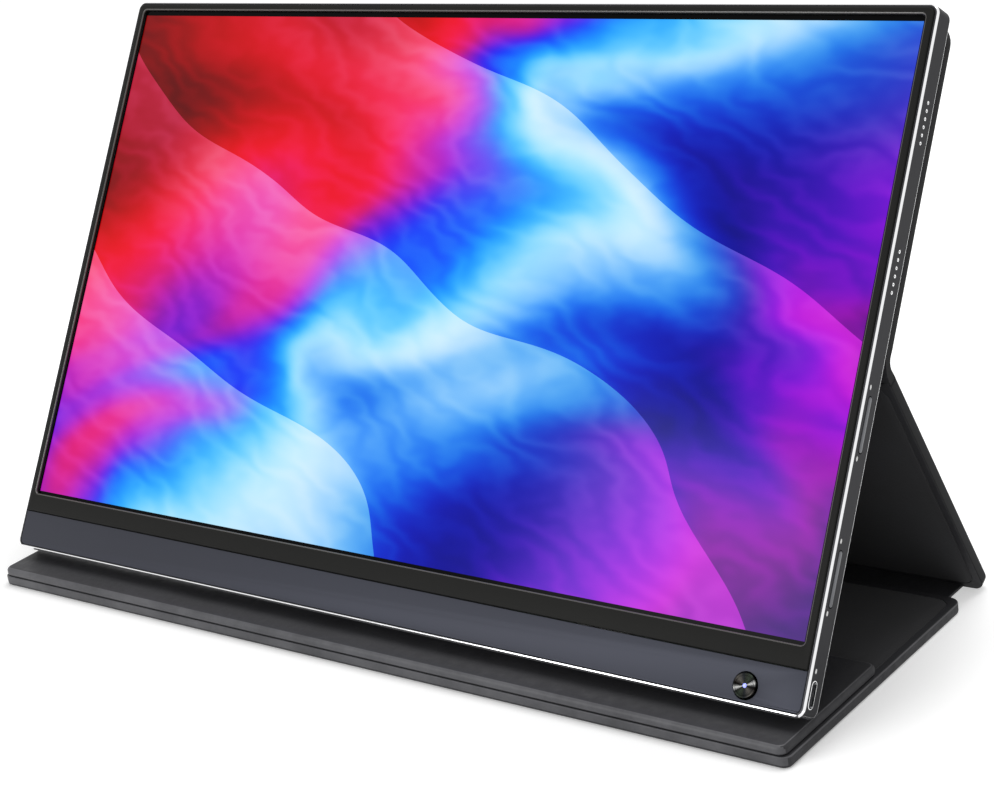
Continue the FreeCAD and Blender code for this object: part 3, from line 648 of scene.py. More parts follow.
def monitor_space(tree):
    """Object coordinates turned back upright: x along the screen, -y out of it and z up its height."""
    place = add_node(tree, "ShaderNodeTexCoord")
    return add_node(tree, "ShaderNodeMapping", {
        "Vector": place.outputs["Object"], "Location": REST, "Rotation": (-LEAN, 0, 0)},
        vector_type="TEXTURE")


def cad_copy(node, name):
    """A copy of a solid's mesh with its loose triangles merged, free of the frame."""
    piece = bpy.data.objects.new(name, frame["nodes"][node].data.copy())
    piece.data.name = name
    bpy.context.scene.collection.objects.link(piece)
    pick(piece, "FACE", lambda f: True)
    bpy.ops.mesh.remove_doubles(threshold=WELD)
    bpy.ops.object.mode_set(mode="OBJECT")
    if piece.data.has_custom_normals:
        bpy.ops.mesh.customdata_custom_splitnormals_clear()
    return piece


def is_cut_or_highlight(spot, out):
    """The front bevel, a diamond cut, and painted highlights in the same metal: the thin line along the back,
    the strip at the foot and the lower corners.
    """
    to_side = abs(out.x) > ASIDE
    on_bevel = HOUSING_DEPTH - HOUSING_BEVEL < -spot.y < HOUSING_DEPTH and ASLANT < -out.y < STRAIGHT_ON
    outside = (abs(spot.x) > MONITOR_HALF - NEAR
               or out.x * spot.x > 0 and abs(spot.x) > MONITOR_HALF - SIDE_BAND)
    on_back_highlight = 0 < -spot.y < BACK_BEVEL + BACK_HIGHLIGHT and outside and to_side
    on_foot_highlight = out.y < -STRAIGHT_ON and -spot.y > HOUSING_DEPTH - NEAR and spot.z < FOOT_HIGHLIGHT
    on_corner_highlight = out.z < -DOWNWARD and to_side and abs(spot.x) > MONITOR_HALF - CORNER_HIGHLIGHT
    return on_bevel or on_back_highlight or on_foot_highlight or on_corner_highlight


# Anodised aluminium: bead-blasted then dyed dark, so it is dull even at a low angle, with faint drawing lines
# along the wall, drawn coarser than real ones so that they show
anodised, tree = new_material("aluminium_anodised_dark_grey")
upright = monitor_space(tree)
drawn = add_node(tree, "ShaderNodeMapping", {
    "Vector": upright.outputs[0], "Scale": (1 / BRUSH_RUN, 1 / BRUSH_LINE, 1 / BRUSH_RUN)})
lines = add_node(tree, "ShaderNodeTexNoise", {"Vector": drawn.outputs[0], "Scale": 1.0, "Detail": 3.0})
metal_colour = add_node(tree, "ShaderNodeMix", {
    "Factor": lines.outputs["Fac"], 6: linear(HOUSING_DARK), 7: linear(HOUSING_GREY)}, data_type="RGBA")
metal_gloss = add_node(tree, "ShaderNodeMapRange", {
    "Value": lines.outputs["Fac"], "To Min": 0.3, "To Max": 0.46})
metal_relief = add_node(tree, "ShaderNodeBump", {
    "Height": lines.outputs["Fac"], "Strength": 0.08, "Distance": BRUSH_RELIEF})
metal = add_node(tree, "ShaderNodeBsdfPrincipled", {
    "Base Color": metal_colour.outputs[2], "Metallic": 1.0, "Roughness": metal_gloss.outputs[0],
    "Specular Tint": linear(HOUSING_GLARE), "Normal": metal_relief.outputs[0]})
add_node(tree, "ShaderNodeOutputMaterial", {"Surface": metal.outputs[0]})

# Diamond-cut aluminium: a mirror-bright bevel with the faintest tool lines; laid on plain wall, it also makes
# painted highlights
bright_cut_and_highlight, tree = new_material("aluminium_diamond_cut_and_painted_highlight")
upright = monitor_space(tree)
tool_marks = add_node(tree, "ShaderNodeTexNoise", {
    "Vector": upright.outputs[0], "Scale": 1 / TOOL_MARK, "Detail": 2.0})
cut_gloss = add_node(tree, "ShaderNodeMapRange", {
    "Value": tool_marks.outputs["Fac"], "To Min": 0.08, "To Max": 0.2})
cut = add_node(tree, "ShaderNodeBsdfPrincipled", {
    "Base Color": linear(BRIGHT_CUT_AND_HIGHLIGHT), "Metallic": 1.0, "Roughness": cut_gloss.outputs[0]})
add_node(tree, "ShaderNodeOutputMaterial", {"Surface": cut.outputs[0]})

monitor_back = monitor_place.inverted()
monitor_turn = monitor_place.to_3x3()
housing_shell = cad_copy("rear_housing", "housing_shell")
pick(housing_shell, "FACE", lambda f: True)
# Cut the wall where the painted highlight strips along the back and at the foot begin
for spot, facing in (((0, -(BACK_BEVEL + BACK_HIGHLIGHT), 0), (0, 1, 0)), ((0, 0, FOOT_HIGHLIGHT), (0, 0, 1))):
    bpy.ops.mesh.select_all(action="SELECT")
    bpy.ops.mesh.bisect(plane_co=monitor_place @ Vector(spot), plane_no=monitor_turn @ Vector(facing))
bpy.ops.object.mode_set(mode="OBJECT")
cut_and_highlight_faces = [is_cut_or_highlight(monitor_back @ face.center, monitor_back.to_3x3() @ face.normal)
                for face in housing_shell.data.polygons]
finish_shape(housing_shell, "monitor", "rear_housing", anodised, MONITOR_SMOOTH)
second_finish(housing_shell, bright_cut_and_highlight, cut_and_highlight_faces)

# Screen
# The liquid crystal cell behind the bezel, with a narrow black border round the lit area.
# It shows a plain colour-wave picture, lit from behind and covered by clear glass.
SCREEN_WIDTH = 344.2 * MM
SCREEN_HEIGHT = 193.6 * MM
SCREEN_BOTTOM = 22.9 * MM
CELL_HALF = 174.25 * MM
CELL_BOTTOM = 15.9 * MM
CELL_TOP = 219.25 * MM
CELL_BACK = 6.6 * MM
CELL_FRONT = 7.6 * MM
BLACK_BORDER = "#050506"
BORDER_HAZE = 30.0 * MM
WAVE_SLANT = -0.52
WAVE_SWAY = 0.75
WAVE_START = -0.1
WAVE_END = 1.33
WAVE_COLOURS = (
    (0.0, "#a30d2a"), (0.1, "#d8142f"), (0.2, "#ff4468"), (0.28, "#f04fb4"), (0.34, "#b03cf0"),
    (0.4, "#2f8cff"), (0.47, "#39d2ff"), (0.53, "#e6fbff"), (0.6, "#38b6ff"), (0.68, "#0f4fe0"),
    (0.77, "#2a17b0"), (0.86, "#8a10e6"), (0.94, "#d512d6"), (1.0, "#7a0fb4"))

# Lit picture: broad waves of colour run across the panel, with silk-like folds in them
lit_panel, tree = new_material("display_glass_lit")
upright = monitor_space(tree)
panel = add_node(tree, "ShaderNodeMapping", {
    "Vector": upright.outputs[0], "Location": (-SCREEN_WIDTH / 2, 0, SCREEN_BOTTOM),
    "Scale": (SCREEN_WIDTH, 1, SCREEN_HEIGHT)}, vector_type="TEXTURE")
parts = add_node(tree, "ShaderNodeSeparateXYZ", {"Vector": panel.outputs[0]})
flat = add_node(tree, "ShaderNodeCombineXYZ", {"X": parts.outputs["X"], "Y": parts.outputs["Z"]})
sway = add_node(tree, "ShaderNodeTexNoise", {
    "Vector": flat.outputs[0], "Scale": 2.1, "Detail": 1.5, "Distortion": 0.7}, noise_dimensions="2D")
drop = add_node(tree, "ShaderNodeMath", {
    0: parts.outputs["Z"], 1: WAVE_SLANT, 2: parts.outputs["X"]}, operation="MULTIPLY_ADD")
swayed = add_node(tree, "ShaderNodeMath", {
    0: sway.outputs["Fac"], 1: WAVE_SWAY, 2: drop.outputs[0]}, operation="MULTIPLY_ADD")
along = add_node(tree, "ShaderNodeMapRange", {
    "Value": swayed.outputs[0], "From Min": WAVE_START, "From Max": WAVE_END})
waves = add_node(tree, "ShaderNodeValToRGB", {"Fac": along.outputs[0]})
waves.color_ramp.interpolation = "B_SPLINE"
wave_stops = waves.color_ramp.elements
for index, (position, hex_code) in enumerate(WAVE_COLOURS):
    stop = wave_stops[index] if index < 2 else wave_stops.new(position)
    stop.position = position
    stop.color = linear(hex_code)
folds = add_node(tree, "ShaderNodeTexWave", {
    "Vector": flat.outputs[0], "Scale": 1.15, "Distortion": 7.5, "Detail": 2.0, "Detail Scale": 0.9,
    "Detail Roughness": 0.4, "Phase Offset": 1.7},
    wave_type="BANDS", bands_direction="DIAGONAL", wave_profile="SAW")
fold_light = add_node(tree, "ShaderNodeMapRange", {
    "Value": folds.outputs["Fac"], "To Min": 2.1, "To Max": 0.8}, interpolation_type="SMOOTHSTEP")
threads = add_node(tree, "ShaderNodeTexWave", {
    "Vector": flat.outputs[0], "Scale": 9.0, "Distortion": 16.0, "Detail": 3.0, "Detail Scale": 0.7},
    wave_type="BANDS", bands_direction="DIAGONAL")
thread_light = add_node(tree, "ShaderNodeMapRange", {
    "Value": threads.outputs["Fac"], "To Min": 1.12, "To Max": 0.92})
shade = add_node(tree, "ShaderNodeMath", {
    0: fold_light.outputs[0], 1: thread_light.outputs[0]}, operation="MULTIPLY")
picture = add_node(tree, "ShaderNodeGamma", {"Color": waves.outputs["Color"], "Gamma": shade.outputs[0]})
screen_surface = add_node(tree, "ShaderNodeBsdfPrincipled", {
    "Base Color": linear(BLACK_BORDER), "Roughness": 0.12, "Specular IOR Level": 0.1,
    "Emission Color": picture.outputs[0], "Emission Strength": 1.0})
add_node(tree, "ShaderNodeOutputMaterial", {"Surface": screen_surface.outputs[0]})

# Black border: printed matrix under the glass, glossy and almost unlit
border_glass, tree = new_material("display_glass_black_border")
upright = monitor_space(tree)
haze = add_node(tree, "ShaderNodeTexNoise", {"Vector": upright.outputs[0], "Scale": 1 / BORDER_HAZE})
border_gloss = add_node(tree, "ShaderNodeMapRange", {
    "Value": haze.outputs["Fac"], "To Min": 0.1, "To Max": 0.2})
border_surface = add_node(tree, "ShaderNodeBsdfPrincipled", {
    "Base Color": linear(BLACK_BORDER), "Roughness": border_gloss.outputs[0], "Specular IOR Level": 0.04})
add_node(tree, "ShaderNodeOutputMaterial", {"Surface": border_surface.outputs[0]})

screen_pane = fresh_box("screen_pane", (-CELL_HALF, -CELL_FRONT, CELL_BOTTOM),
                        (CELL_HALF, -CELL_BACK, CELL_TOP))
pick(screen_pane, "FACE", lambda f: f.normal.y < -STRAIGHT_ON)
bpy.ops.mesh.inset(thickness=CELL_HALF - SCREEN_WIDTH / 2)
bpy.ops.object.mode_set(mode="OBJECT")
for vert in screen_pane.data.vertices:
    if abs(vert.co.x) < CELL_HALF - NEAR:
        vert.co.z = SCREEN_BOTTOM if vert.co.z < CELL_TOP / 2 else SCREEN_BOTTOM + SCREEN_HEIGHT
lit_faces = [all(abs(screen_pane.data.vertices[index].co.x) < CELL_HALF - NEAR for index in face.vertices)
             for face in screen_pane.data.polygons]
place_piece(screen_pane, monitor_place)
finish_shape(screen_pane, "monitor", "lcd_cell", border_glass)
second_finish(screen_pane, lit_panel, lit_faces)

# Front bezel
# A black moulded frame, thin at the top and sides and wide below the screen, standing half a
# millimetre above the metal rim, with a small bevel round the window that catches the light.
BEZEL_HALF = 175.65 * MM
BEZEL_FOOT = 14.6 * MM
BEZEL_TOP = 220.65 * MM
BEZEL_CORNER = 2.15 * MM
BEZEL_BACK = 7.8 * MM
BEZEL_FRONT = 9.0 * MM
BEZEL_ROUND = 0.45 * MM
WINDOW_HALF = 172.9 * MM
WINDOW_LOW = 21.7 * MM
WINDOW_HIGH = 218.4 * MM
WINDOW_BEVEL = 0.5 * MM
WINDOW_CORNER = 1.4 * MM
BEVEL_STEEPEST = -0.1
BEVEL_FLATTEST = -0.97
BEZEL_BLACK = "#141413"
BEZEL_LIGHT = "#1a1a18"
BEVEL_PAINTED_SHEEN = "#2e2a26"
SPARK_GRAIN = 0.5 * MM
SPARK_RELIEF = 0.03 * MM
PLASTIC_DRIFT = 60.0 * MM
BEVEL_FLOW = 25.0 * MM


def in_window(spot, margin):
    """Whether a point is within the window, or past its sides by no more than a margin."""
    return abs(spot.x) < WINDOW_HALF + margin and WINDOW_LOW - margin < spot.z < WINDOW_HIGH + margin


# Moulded plastic: black ABS, matt, with a spark-eroded grain drawn coarser than it is so that it shows
moulded, tree = new_material("abs_moulded_matt_black")
upright = monitor_space(tree)
sparks = add_node(tree, "ShaderNodeTexNoise", {
    "Vector": upright.outputs[0], "Scale": 1 / SPARK_GRAIN, "Detail": 2.0})
tone = add_node(tree, "ShaderNodeTexNoise", {"Vector": upright.outputs[0], "Scale": 1 / PLASTIC_DRIFT})
plastic_colour = add_node(tree, "ShaderNodeMix", {
    "Factor": tone.outputs["Fac"], 6: linear(BEZEL_BLACK), 7: linear(BEZEL_LIGHT)}, data_type="RGBA")
plastic_relief = add_node(tree, "ShaderNodeBump", {
    "Height": sparks.outputs["Fac"], "Strength": 0.12, "Distance": SPARK_RELIEF})
plastic = add_node(tree, "ShaderNodeBsdfPrincipled", {
    "Base Color": plastic_colour.outputs[2], "Roughness": 0.52, "Specular IOR Level": 0.1,
    "Normal": plastic_relief.outputs[0]})
add_node(tree, "ShaderNodeOutputMaterial", {"Surface": plastic.outputs[0]})

# Window bevel: left smooth and glossy from the tool, and painted a paler brownish grey as highlight, so it
# shows as a thin paler line
bevel_painted_sheen, tree = new_material("abs_moulded_gloss_bevel_painted_sheen")
upright = monitor_space(tree)
flow = add_node(tree, "ShaderNodeTexNoise", {"Vector": upright.outputs[0], "Scale": 1 / BEVEL_FLOW})
bevel_gloss = add_node(tree, "ShaderNodeMapRange", {
    "Value": flow.outputs["Fac"], "To Min": 0.2, "To Max": 0.32})
bevel_surface = add_node(tree, "ShaderNodeBsdfPrincipled", {
    "Base Color": linear(BEVEL_PAINTED_SHEEN), "Roughness": bevel_gloss.outputs[0], "Specular IOR Level": 0.9})
add_node(tree, "ShaderNodeOutputMaterial", {"Surface": bevel_surface.outputs[0]})

bezel_frame = fresh_box("bezel_frame", (-BEZEL_HALF, -BEZEL_FRONT, BEZEL_FOOT),
                        (BEZEL_HALF, -BEZEL_BACK, BEZEL_TOP))
round_edges(bezel_frame, lambda e: runs_along(e, 1) and lies_at(e, 2, BEZEL_TOP), BEZEL_CORNER, steps=12)
round_edges(bezel_frame, lambda e: lies_at(e, 1, -BEZEL_FRONT), BEZEL_ROUND, steps=4)
window_block = fresh_box("window_block", (-WINDOW_HALF, -BEZEL_FRONT - BEZEL_ROUND, WINDOW_LOW),
                         (WINDOW_HALF, -BEZEL_BACK + BEZEL_ROUND, WINDOW_HIGH))
round_edges(window_block, lambda e: runs_along(e, 1), WINDOW_CORNER, steps=6)
cut_away(bezel_frame, window_block)
round_edges(bezel_frame, lambda e: lies_at(e, 1, -BEZEL_FRONT)
            and all(in_window(vert.co, NEAR) for vert in e.verts), WINDOW_BEVEL, steps=3)
bevel_faces = [BEVEL_FLATTEST < face.normal.y < BEVEL_STEEPEST and in_window(face.center, WINDOW_BEVEL + NEAR)
               for face in bezel_frame.data.polygons]
place_piece(bezel_frame, monitor_place)
finish_shape(bezel_frame, "monitor", "front_bezel", moulded, MONITOR_SMOOTH)
second_finish(bezel_frame, bevel_painted_sheen, bevel_faces)

# Chin strip
# A plate of blue-grey satin anodised aluminium below the bezel's band, pierced for the knob.
# It is held by a folded lip behind its lower edge, which does not show.
CHIN_LOW = 1.35 * MM
CHIN_HIGH = 14.45 * MM
CHIN_BACK = 7.65 * MM
CHIN_FRONT = 8.65 * MM
CHIN_ROUND = 0.25 * MM
KNOB_X = 155.6 * MM
KNOB_HEIGHT = 6.4 * MM
KNOB_HOLE = 4.3 * MM
HOLE_BAR = 4.0 * MM
CHIN_COLOUR = "#3a3c45"
CHIN_SHADE = "#303138"
CHIN_DRIFT = 140.0 * MM
BLAST_GRAIN = 0.35 * MM
BLAST_RELIEF = 0.02 * MM
FACE_FORWARD = (math.pi / 2, 0, 0)


def fresh_rod(name, radius, length, middle, facing, sides, stretch=1.0):
    """A cylinder primitive stretched across, turned from upright and set about its middle."""
    bpy.ops.object.select_all(action="DESELECT")
    bpy.ops.mesh.primitive_cylinder_add(vertices=sides, radius=radius, depth=length, location=middle,
                                        rotation=facing)
    piece = bpy.context.object
    piece.name = name
    piece.data.name = name
    piece.scale.x = stretch
    bpy.ops.object.transform_apply(location=True, rotation=True, scale=True)
    return piece


# Satin anodising: bead blast under a blue-grey dye, evenly soft in its highlights, with the blast drawn
# coarser than it is so that it shows
satin, tree = new_material("aluminium_satin_anodised_blue_grey")
upright = monitor_space(tree)
blast = add_node(tree, "ShaderNodeTexNoise", {
    "Vector": upright.outputs[0], "Scale": 1 / BLAST_GRAIN, "Detail": 2.0})
drift = add_node(tree, "ShaderNodeTexNoise", {
    "Vector": upright.outputs[0], "Scale": 1 / CHIN_DRIFT, "Detail": 1.0})
chin_colour = add_node(tree, "ShaderNodeMix", {
    "Factor": drift.outputs["Fac"], 6: linear(CHIN_SHADE), 7: linear(CHIN_COLOUR)}, data_type="RGBA")
blast_relief = add_node(tree, "ShaderNodeBump", {
    "Height": blast.outputs["Fac"], "Strength": 0.1, "Distance": BLAST_RELIEF})
chin_surface = add_node(tree, "ShaderNodeBsdfPrincipled", {
    "Base Color": chin_colour.outputs[2], "Metallic": 0.8, "Roughness": 0.48,
    "Normal": blast_relief.outputs[0]})
add_node(tree, "ShaderNodeOutputMaterial", {"Surface": chin_surface.outputs[0]})

chin_plate = fresh_box("chin_plate", (-BEZEL_HALF, -CHIN_FRONT, CHIN_LOW),
                       (BEZEL_HALF, -CHIN_BACK, CHIN_HIGH))
round_edges(chin_plate, lambda e: runs_along(e, 1) and lies_at(e, 2, CHIN_LOW), BEZEL_CORNER, steps=12)
hole_bar = fresh_rod("hole_bar", KNOB_HOLE, HOLE_BAR,
                     (KNOB_X, -(CHIN_FRONT + CHIN_BACK) / 2, KNOB_HEIGHT), FACE_FORWARD, sides=72)
cut_away(chin_plate, hole_bar)
round_edges(chin_plate, lambda e: lies_at(e, 1, -CHIN_FRONT), CHIN_ROUND, steps=3)
place_piece(chin_plate, monitor_place)
finish_shape(chin_plate, "monitor", "chin_panel", satin, MONITOR_SMOOTH)

# Power knob
# A small turned button of spun aluminium that presses into the chin, with a shallow dish,
# fine turning rings and a lilac light behind a clear lens at its centre.
KNOB_RADIUS = 4.0 * MM
KNOB_FRONT = 9.45 * MM
KNOB_BACK = 7.4 * MM
KNOB_RIM = 0.4 * MM
LENS_RADIUS = 0.7 * MM
LENS_BACK = 7.85 * MM
LENS_FRONT = 9.28 * MM
LENS_ROUND = 0.35 * MM
LENS_SMOOTH = 0.7
# The dish, as insets from the rim inwards: the width and depth of each in millimetres
KNOB_DISH = ((0.3, 0.0), (0.2, -0.12), (1.0, -0.08), (0.9, -0.08), (0.42, -0.04), (0.06, -0.8))
# Painted reflections: the fans of light and dark round the dish, over half a turn
KNOB_PAINTED_FANS = ((0.0, "#1a1c19"), (0.07, "#131518"), (0.29, "#363431"), (0.39, "#252322"), (0.46, "#080605"),
             (0.51, "#0b0b0b"), (0.56, "#484848"), (0.61, "#8c8c8a"), (0.66, "#6a6a6a"), (0.71, "#131313"),
             (0.83, "#20251f"), (1.0, "#1a1c19"))
RING_SPACING = 0.3 * MM
RING_RELIEF = 0.05 * MM
# The wave pattern's own spacing at a scale of 1
WAVE_PERIOD = 0.314
LENS_GLOW = "#8f9bff"
LENS_BLUE = "#5a66ff"
LENS_PALE = "#c4c9ff"
LENS_SPARKLE = 0.5 * MM

# Spun aluminium: turning rings about the button's axis, drawn coarser than real ones so that they show; the
# two fans of light that such rings draw are painted into its colour by the angle round the axis
spun, tree = new_material("aluminium_spun_painted_fans")
upright = monitor_space(tree)
knob_space = add_node(tree, "ShaderNodeMapping", {
    "Vector": upright.outputs[0], "Location": (KNOB_X, 0, KNOB_HEIGHT)}, vector_type="TEXTURE")
knob_parts = add_node(tree, "ShaderNodeSeparateXYZ", {"Vector": knob_space.outputs[0]})
knob_flat = add_node(tree, "ShaderNodeCombineXYZ", {
    "X": knob_parts.outputs["X"], "Y": knob_parts.outputs["Z"]})
rings = add_node(tree, "ShaderNodeTexWave", {
    "Vector": knob_flat.outputs[0], "Scale": WAVE_PERIOD / RING_SPACING},
    wave_type="RINGS", rings_direction="Z")
bearing = add_node(tree, "ShaderNodeMath", {
    0: knob_parts.outputs["Z"], 1: knob_parts.outputs["X"]}, operation="ARCTAN2")
half_turns = add_node(tree, "ShaderNodeMath", {
    0: bearing.outputs[0], 1: 1 / math.pi, 2: 0.5}, operation="MULTIPLY_ADD")
fan_share = add_node(tree, "ShaderNodeMath", {0: half_turns.outputs[0]}, operation="FRACT")
painted_fan_colour = add_node(tree, "ShaderNodeValToRGB", {"Fac": fan_share.outputs[0]})
painted_fan_stops = painted_fan_colour.color_ramp.elements
for index, (position, hex_code) in enumerate(KNOB_PAINTED_FANS):
    stop = painted_fan_stops[index] if index < 2 else painted_fan_stops.new(position)
    stop.position = position
    stop.color = linear(hex_code)
ring_relief = add_node(tree, "ShaderNodeBump", {
    "Height": rings.outputs["Fac"], "Strength": 0.5, "Distance": RING_RELIEF})
spun_surface = add_node(tree, "ShaderNodeBsdfPrincipled", {
    "Base Color": painted_fan_colour.outputs["Color"], "Metallic": 1.0, "Roughness": 0.25,
    "Normal": ring_relief.outputs[0]})
add_node(tree, "ShaderNodeOutputMaterial", {"Surface": spun_surface.outputs[0]})

# Lens: clear polycarbonate over a lit diode, a small even spot of lilac blue
lens_glow, tree = new_material("polycarbonate_lens_lit")
upright = monitor_space(tree)
sparkle = add_node(tree, "ShaderNodeTexNoise", {"Vector": upright.outputs[0], "Scale": 1 / LENS_SPARKLE})
glow_tone = add_node(tree, "ShaderNodeMix", {
    "Factor": sparkle.outputs["Fac"], 6: linear(LENS_BLUE), 7: linear(LENS_PALE)}, data_type="RGBA")
lens_surface = add_node(tree, "ShaderNodeBsdfPrincipled", {
    "Base Color": linear(LENS_GLOW), "Roughness": 0.15, "Emission Color": glow_tone.outputs[2],
    "Emission Strength": 0.9})
add_node(tree, "ShaderNodeOutputMaterial", {"Surface": lens_surface.outputs[0]})

knob_cap = fresh_rod("knob_cap", KNOB_RADIUS, KNOB_FRONT - KNOB_BACK,
                     (KNOB_X, -(KNOB_FRONT + KNOB_BACK) / 2, KNOB_HEIGHT), FACE_FORWARD, sides=96)
round_edges(knob_cap, lambda e: lies_at(e, 1, -KNOB_FRONT), KNOB_RIM, steps=4)
pick(knob_cap, "FACE", lambda f: f.normal.y < -STRAIGHT)
for inset_width, inset_depth in KNOB_DISH:
    bpy.ops.mesh.inset(thickness=inset_width * MM, depth=inset_depth * MM)
bpy.ops.object.mode_set(mode="OBJECT")
place_piece(knob_cap, monitor_place)
finish_shape(knob_cap, "knob", "power_knob", spun, MONITOR_SMOOTH)

knob_lens = fresh_rod("knob_lens", LENS_RADIUS, LENS_FRONT - LENS_BACK,
                      (KNOB_X, -(LENS_FRONT + LENS_BACK) / 2, KNOB_HEIGHT), FACE_FORWARD, sides=32)
round_edges(knob_lens, lambda e: lies_at(e, 1, -LENS_FRONT), LENS_ROUND, steps=4)
place_piece(knob_lens, monitor_place)
finish_shape(knob_lens, "knob", "knob_light", lens_glow, LENS_SMOOTH)

# Side keys
# Two long rockers of satin aluminium stand in slots of the right-hand wall, rounded at both ends
# and softened round their faces. Each rocks about its middle onto two small switches.
KEY_INNER = 174.4 * MM
KEY_OUTER = 177.2 * MM
KEY_DEPTH = 5.0 * MM
KEY_LENGTH = 17.4 * MM
KEY_WIDTH = 2.0 * MM
KEY_ROUND = 0.3 * MM
KEYS = (("volume_bar", "volume_rocker", "volume_key", 90.4 * MM),
        ("menu_bar", "menu_rocker", "menu_key", 43.0 * MM))
KEY_GREY = "#6a6b6e"
KEY_SHADE = "#505154"
# The share of a bar's width that rounds its ends, just short of the half at which they would meet
END_ROUND = 0.495


def capsule_bar(name, x0, x1, depth, height, length, width, front_round):
    """A bar along X with a rounded slot for its section, softened at its outer face."""
    piece = fresh_box(name, (x0, -depth - width / 2, height - length / 2),
                      (x1, -depth + width / 2, height + length / 2))
    round_edges(piece, lambda e: runs_along(e, 0), width * END_ROUND, steps=8)
    if front_round:
        round_edges(piece, lambda e: lies_at(e, 0, x1), front_round, steps=3)
    return piece


# Satin key metal: aluminium brushed along the key, paler than the dyed wall so that it stands out
key_satin, tree = new_material("aluminium_satin_key")
upright = monitor_space(tree)
key_space = add_node(tree, "ShaderNodeMapping", {
    "Vector": upright.outputs[0], "Scale": (1 / BRUSH_LINE, 1 / BRUSH_LINE, 1 / BRUSH_RUN)})
key_lines = add_node(tree, "ShaderNodeTexNoise", {
    "Vector": key_space.outputs[0], "Scale": 1.0, "Detail": 2.0})
key_colour = add_node(tree, "ShaderNodeMix", {
    "Factor": key_lines.outputs["Fac"], 6: linear(KEY_SHADE), 7: linear(KEY_GREY)}, data_type="RGBA")
key_surface = add_node(tree, "ShaderNodeBsdfPrincipled", {
    "Base Color": key_colour.outputs[2], "Metallic": 1.0, "Roughness": 0.34})
add_node(tree, "ShaderNodeOutputMaterial", {"Surface": key_surface.outputs[0]})

for key_name, key_body, key_node, key_height in KEYS:
    key_bar = capsule_bar(key_name, KEY_INNER, KEY_OUTER, KEY_DEPTH, key_height, KEY_LENGTH, KEY_WIDTH,
                          KEY_ROUND)
    place_piece(key_bar, monitor_place)
    finish_shape(key_bar, key_body, key_node, key_satin, MONITOR_SMOOTH)

# Sockets
# Stamped and nickelled steel shells in the side walls: one USB-C on the right, near the bottom,
# and a USB-C and a mini HDMI on the left. A polished lip frames the right-hand mouth.
USB_HEIGHT = 7.7 * MM
USB_DEPTH = 5.18 * MM
USB_LENGTH = 8.9 * MM
USB_WIDTH = 3.3 * MM
LIP_WIDTH = 0.3 * MM
LIP_SUNK = 0.05 * MM
LIP_DEPTH = 0.8 * MM
LIP_ROUND = 0.06 * MM
MOUTH_DEPTH = 1.0 * MM
SOCKETS = (("usb_c_socket", "right_usb_shell"), ("left_usb_c_socket", "left_usb_shell"),
           ("left_hdmi_socket", "left_hdmi_shell"))
NICKEL = "#a9aaac"
NICKEL_DARK = "#77787a"
NICKEL_SCUFF = 0.8 * MM

# Nickel plate: a bright neutral grey, a little dulled by fine scuffs
nickel, tree = new_material("steel_nickel_plated")
upright = monitor_space(tree)
scuffs = add_node(tree, "ShaderNodeTexNoise", {
    "Vector": upright.outputs[0], "Scale": 1 / NICKEL_SCUFF, "Detail": 3.0})
nickel_colour = add_node(tree, "ShaderNodeMix", {
    "Factor": scuffs.outputs["Fac"], 6: linear(NICKEL_DARK), 7: linear(NICKEL)}, data_type="RGBA")
nickel_surface = add_node(tree, "ShaderNodeBsdfPrincipled", {
    "Base Color": nickel_colour.outputs[2], "Metallic": 1.0, "Roughness": 0.28})
add_node(tree, "ShaderNodeOutputMaterial", {"Surface": nickel_surface.outputs[0]})

for socket_node, socket_name in SOCKETS:
    socket_shell = cad_copy(socket_node, socket_name)
    finish_shape(socket_shell, "monitor", socket_node, nickel, MONITOR_SMOOTH)

usb_lip = capsule_bar("usb_lip", MONITOR_HALF - LIP_DEPTH, MONITOR_HALF - LIP_SUNK, USB_DEPTH, USB_HEIGHT,
                      USB_LENGTH, USB_WIDTH, LIP_ROUND)
usb_mouth = capsule_bar("usb_mouth", MONITOR_HALF - MOUTH_DEPTH, MONITOR_HALF + MOUTH_DEPTH, USB_DEPTH,
                        USB_HEIGHT, USB_LENGTH - 2 * LIP_WIDTH, USB_WIDTH - 2 * LIP_WIDTH, 0)
cut_away(usb_lip, usb_mouth)
place_piece(usb_lip, monitor_place)
finish_shape(usb_lip, "monitor", None, bright_cut_and_highlight, MONITOR_SMOOTH)

# Speaker holes
# Two rows of six small holes in each side wall, drilled through and countersunk with a bright cut.
# A near-black floor just inside each countersink is painted shade for the depth of the hole.
HOLE_RADIUS = 0.58 * MM
HOLE_PITCH = 2.57 * MM
HOLE_COUNT = 6
HOLE_DEPTH = 4.3 * MM
HOLE_ROWS = (131.7 * MM, 178.7 * MM)
SINK_LENGTH = 0.6 * MM
SINK_MIDDLE = 0.29 * MM
SINK_WIDTH = 0.32 * MM
SINK_FALL = 0.04 * MM
SINK_WALL = 0.02 * MM
SINK_FLOOR = 0.3 * MM
HOLE_SHADE_CELL = 0.15 * MM
HOLE_SHADE_DARK = "#050505"
HOLE_SHADE_LIGHT = "#1c1c1d"

# Hole floor: painted shade, matt and near black with a fine cell pattern, so that each hole reads as deep and
# dark
hole_shade, tree = new_material("painted_shade_hole_floor")
upright = monitor_space(tree)
hole_shade_cells = add_node(tree, "ShaderNodeTexVoronoi", {"Vector": upright.outputs[0], "Scale": 1 / HOLE_SHADE_CELL})
hole_shade_colour = add_node(tree, "ShaderNodeMix", {
    "Factor": hole_shade_cells.outputs["Distance"], 6: linear(HOLE_SHADE_DARK), 7: linear(HOLE_SHADE_LIGHT)}, data_type="RGBA")
hole_shade_surface = add_node(tree, "ShaderNodeBsdfPrincipled", {
    "Base Color": hole_shade_colour.outputs[2], "Roughness": 0.8})
add_node(tree, "ShaderNodeOutputMaterial", {"Surface": hole_shade_surface.outputs[0]})

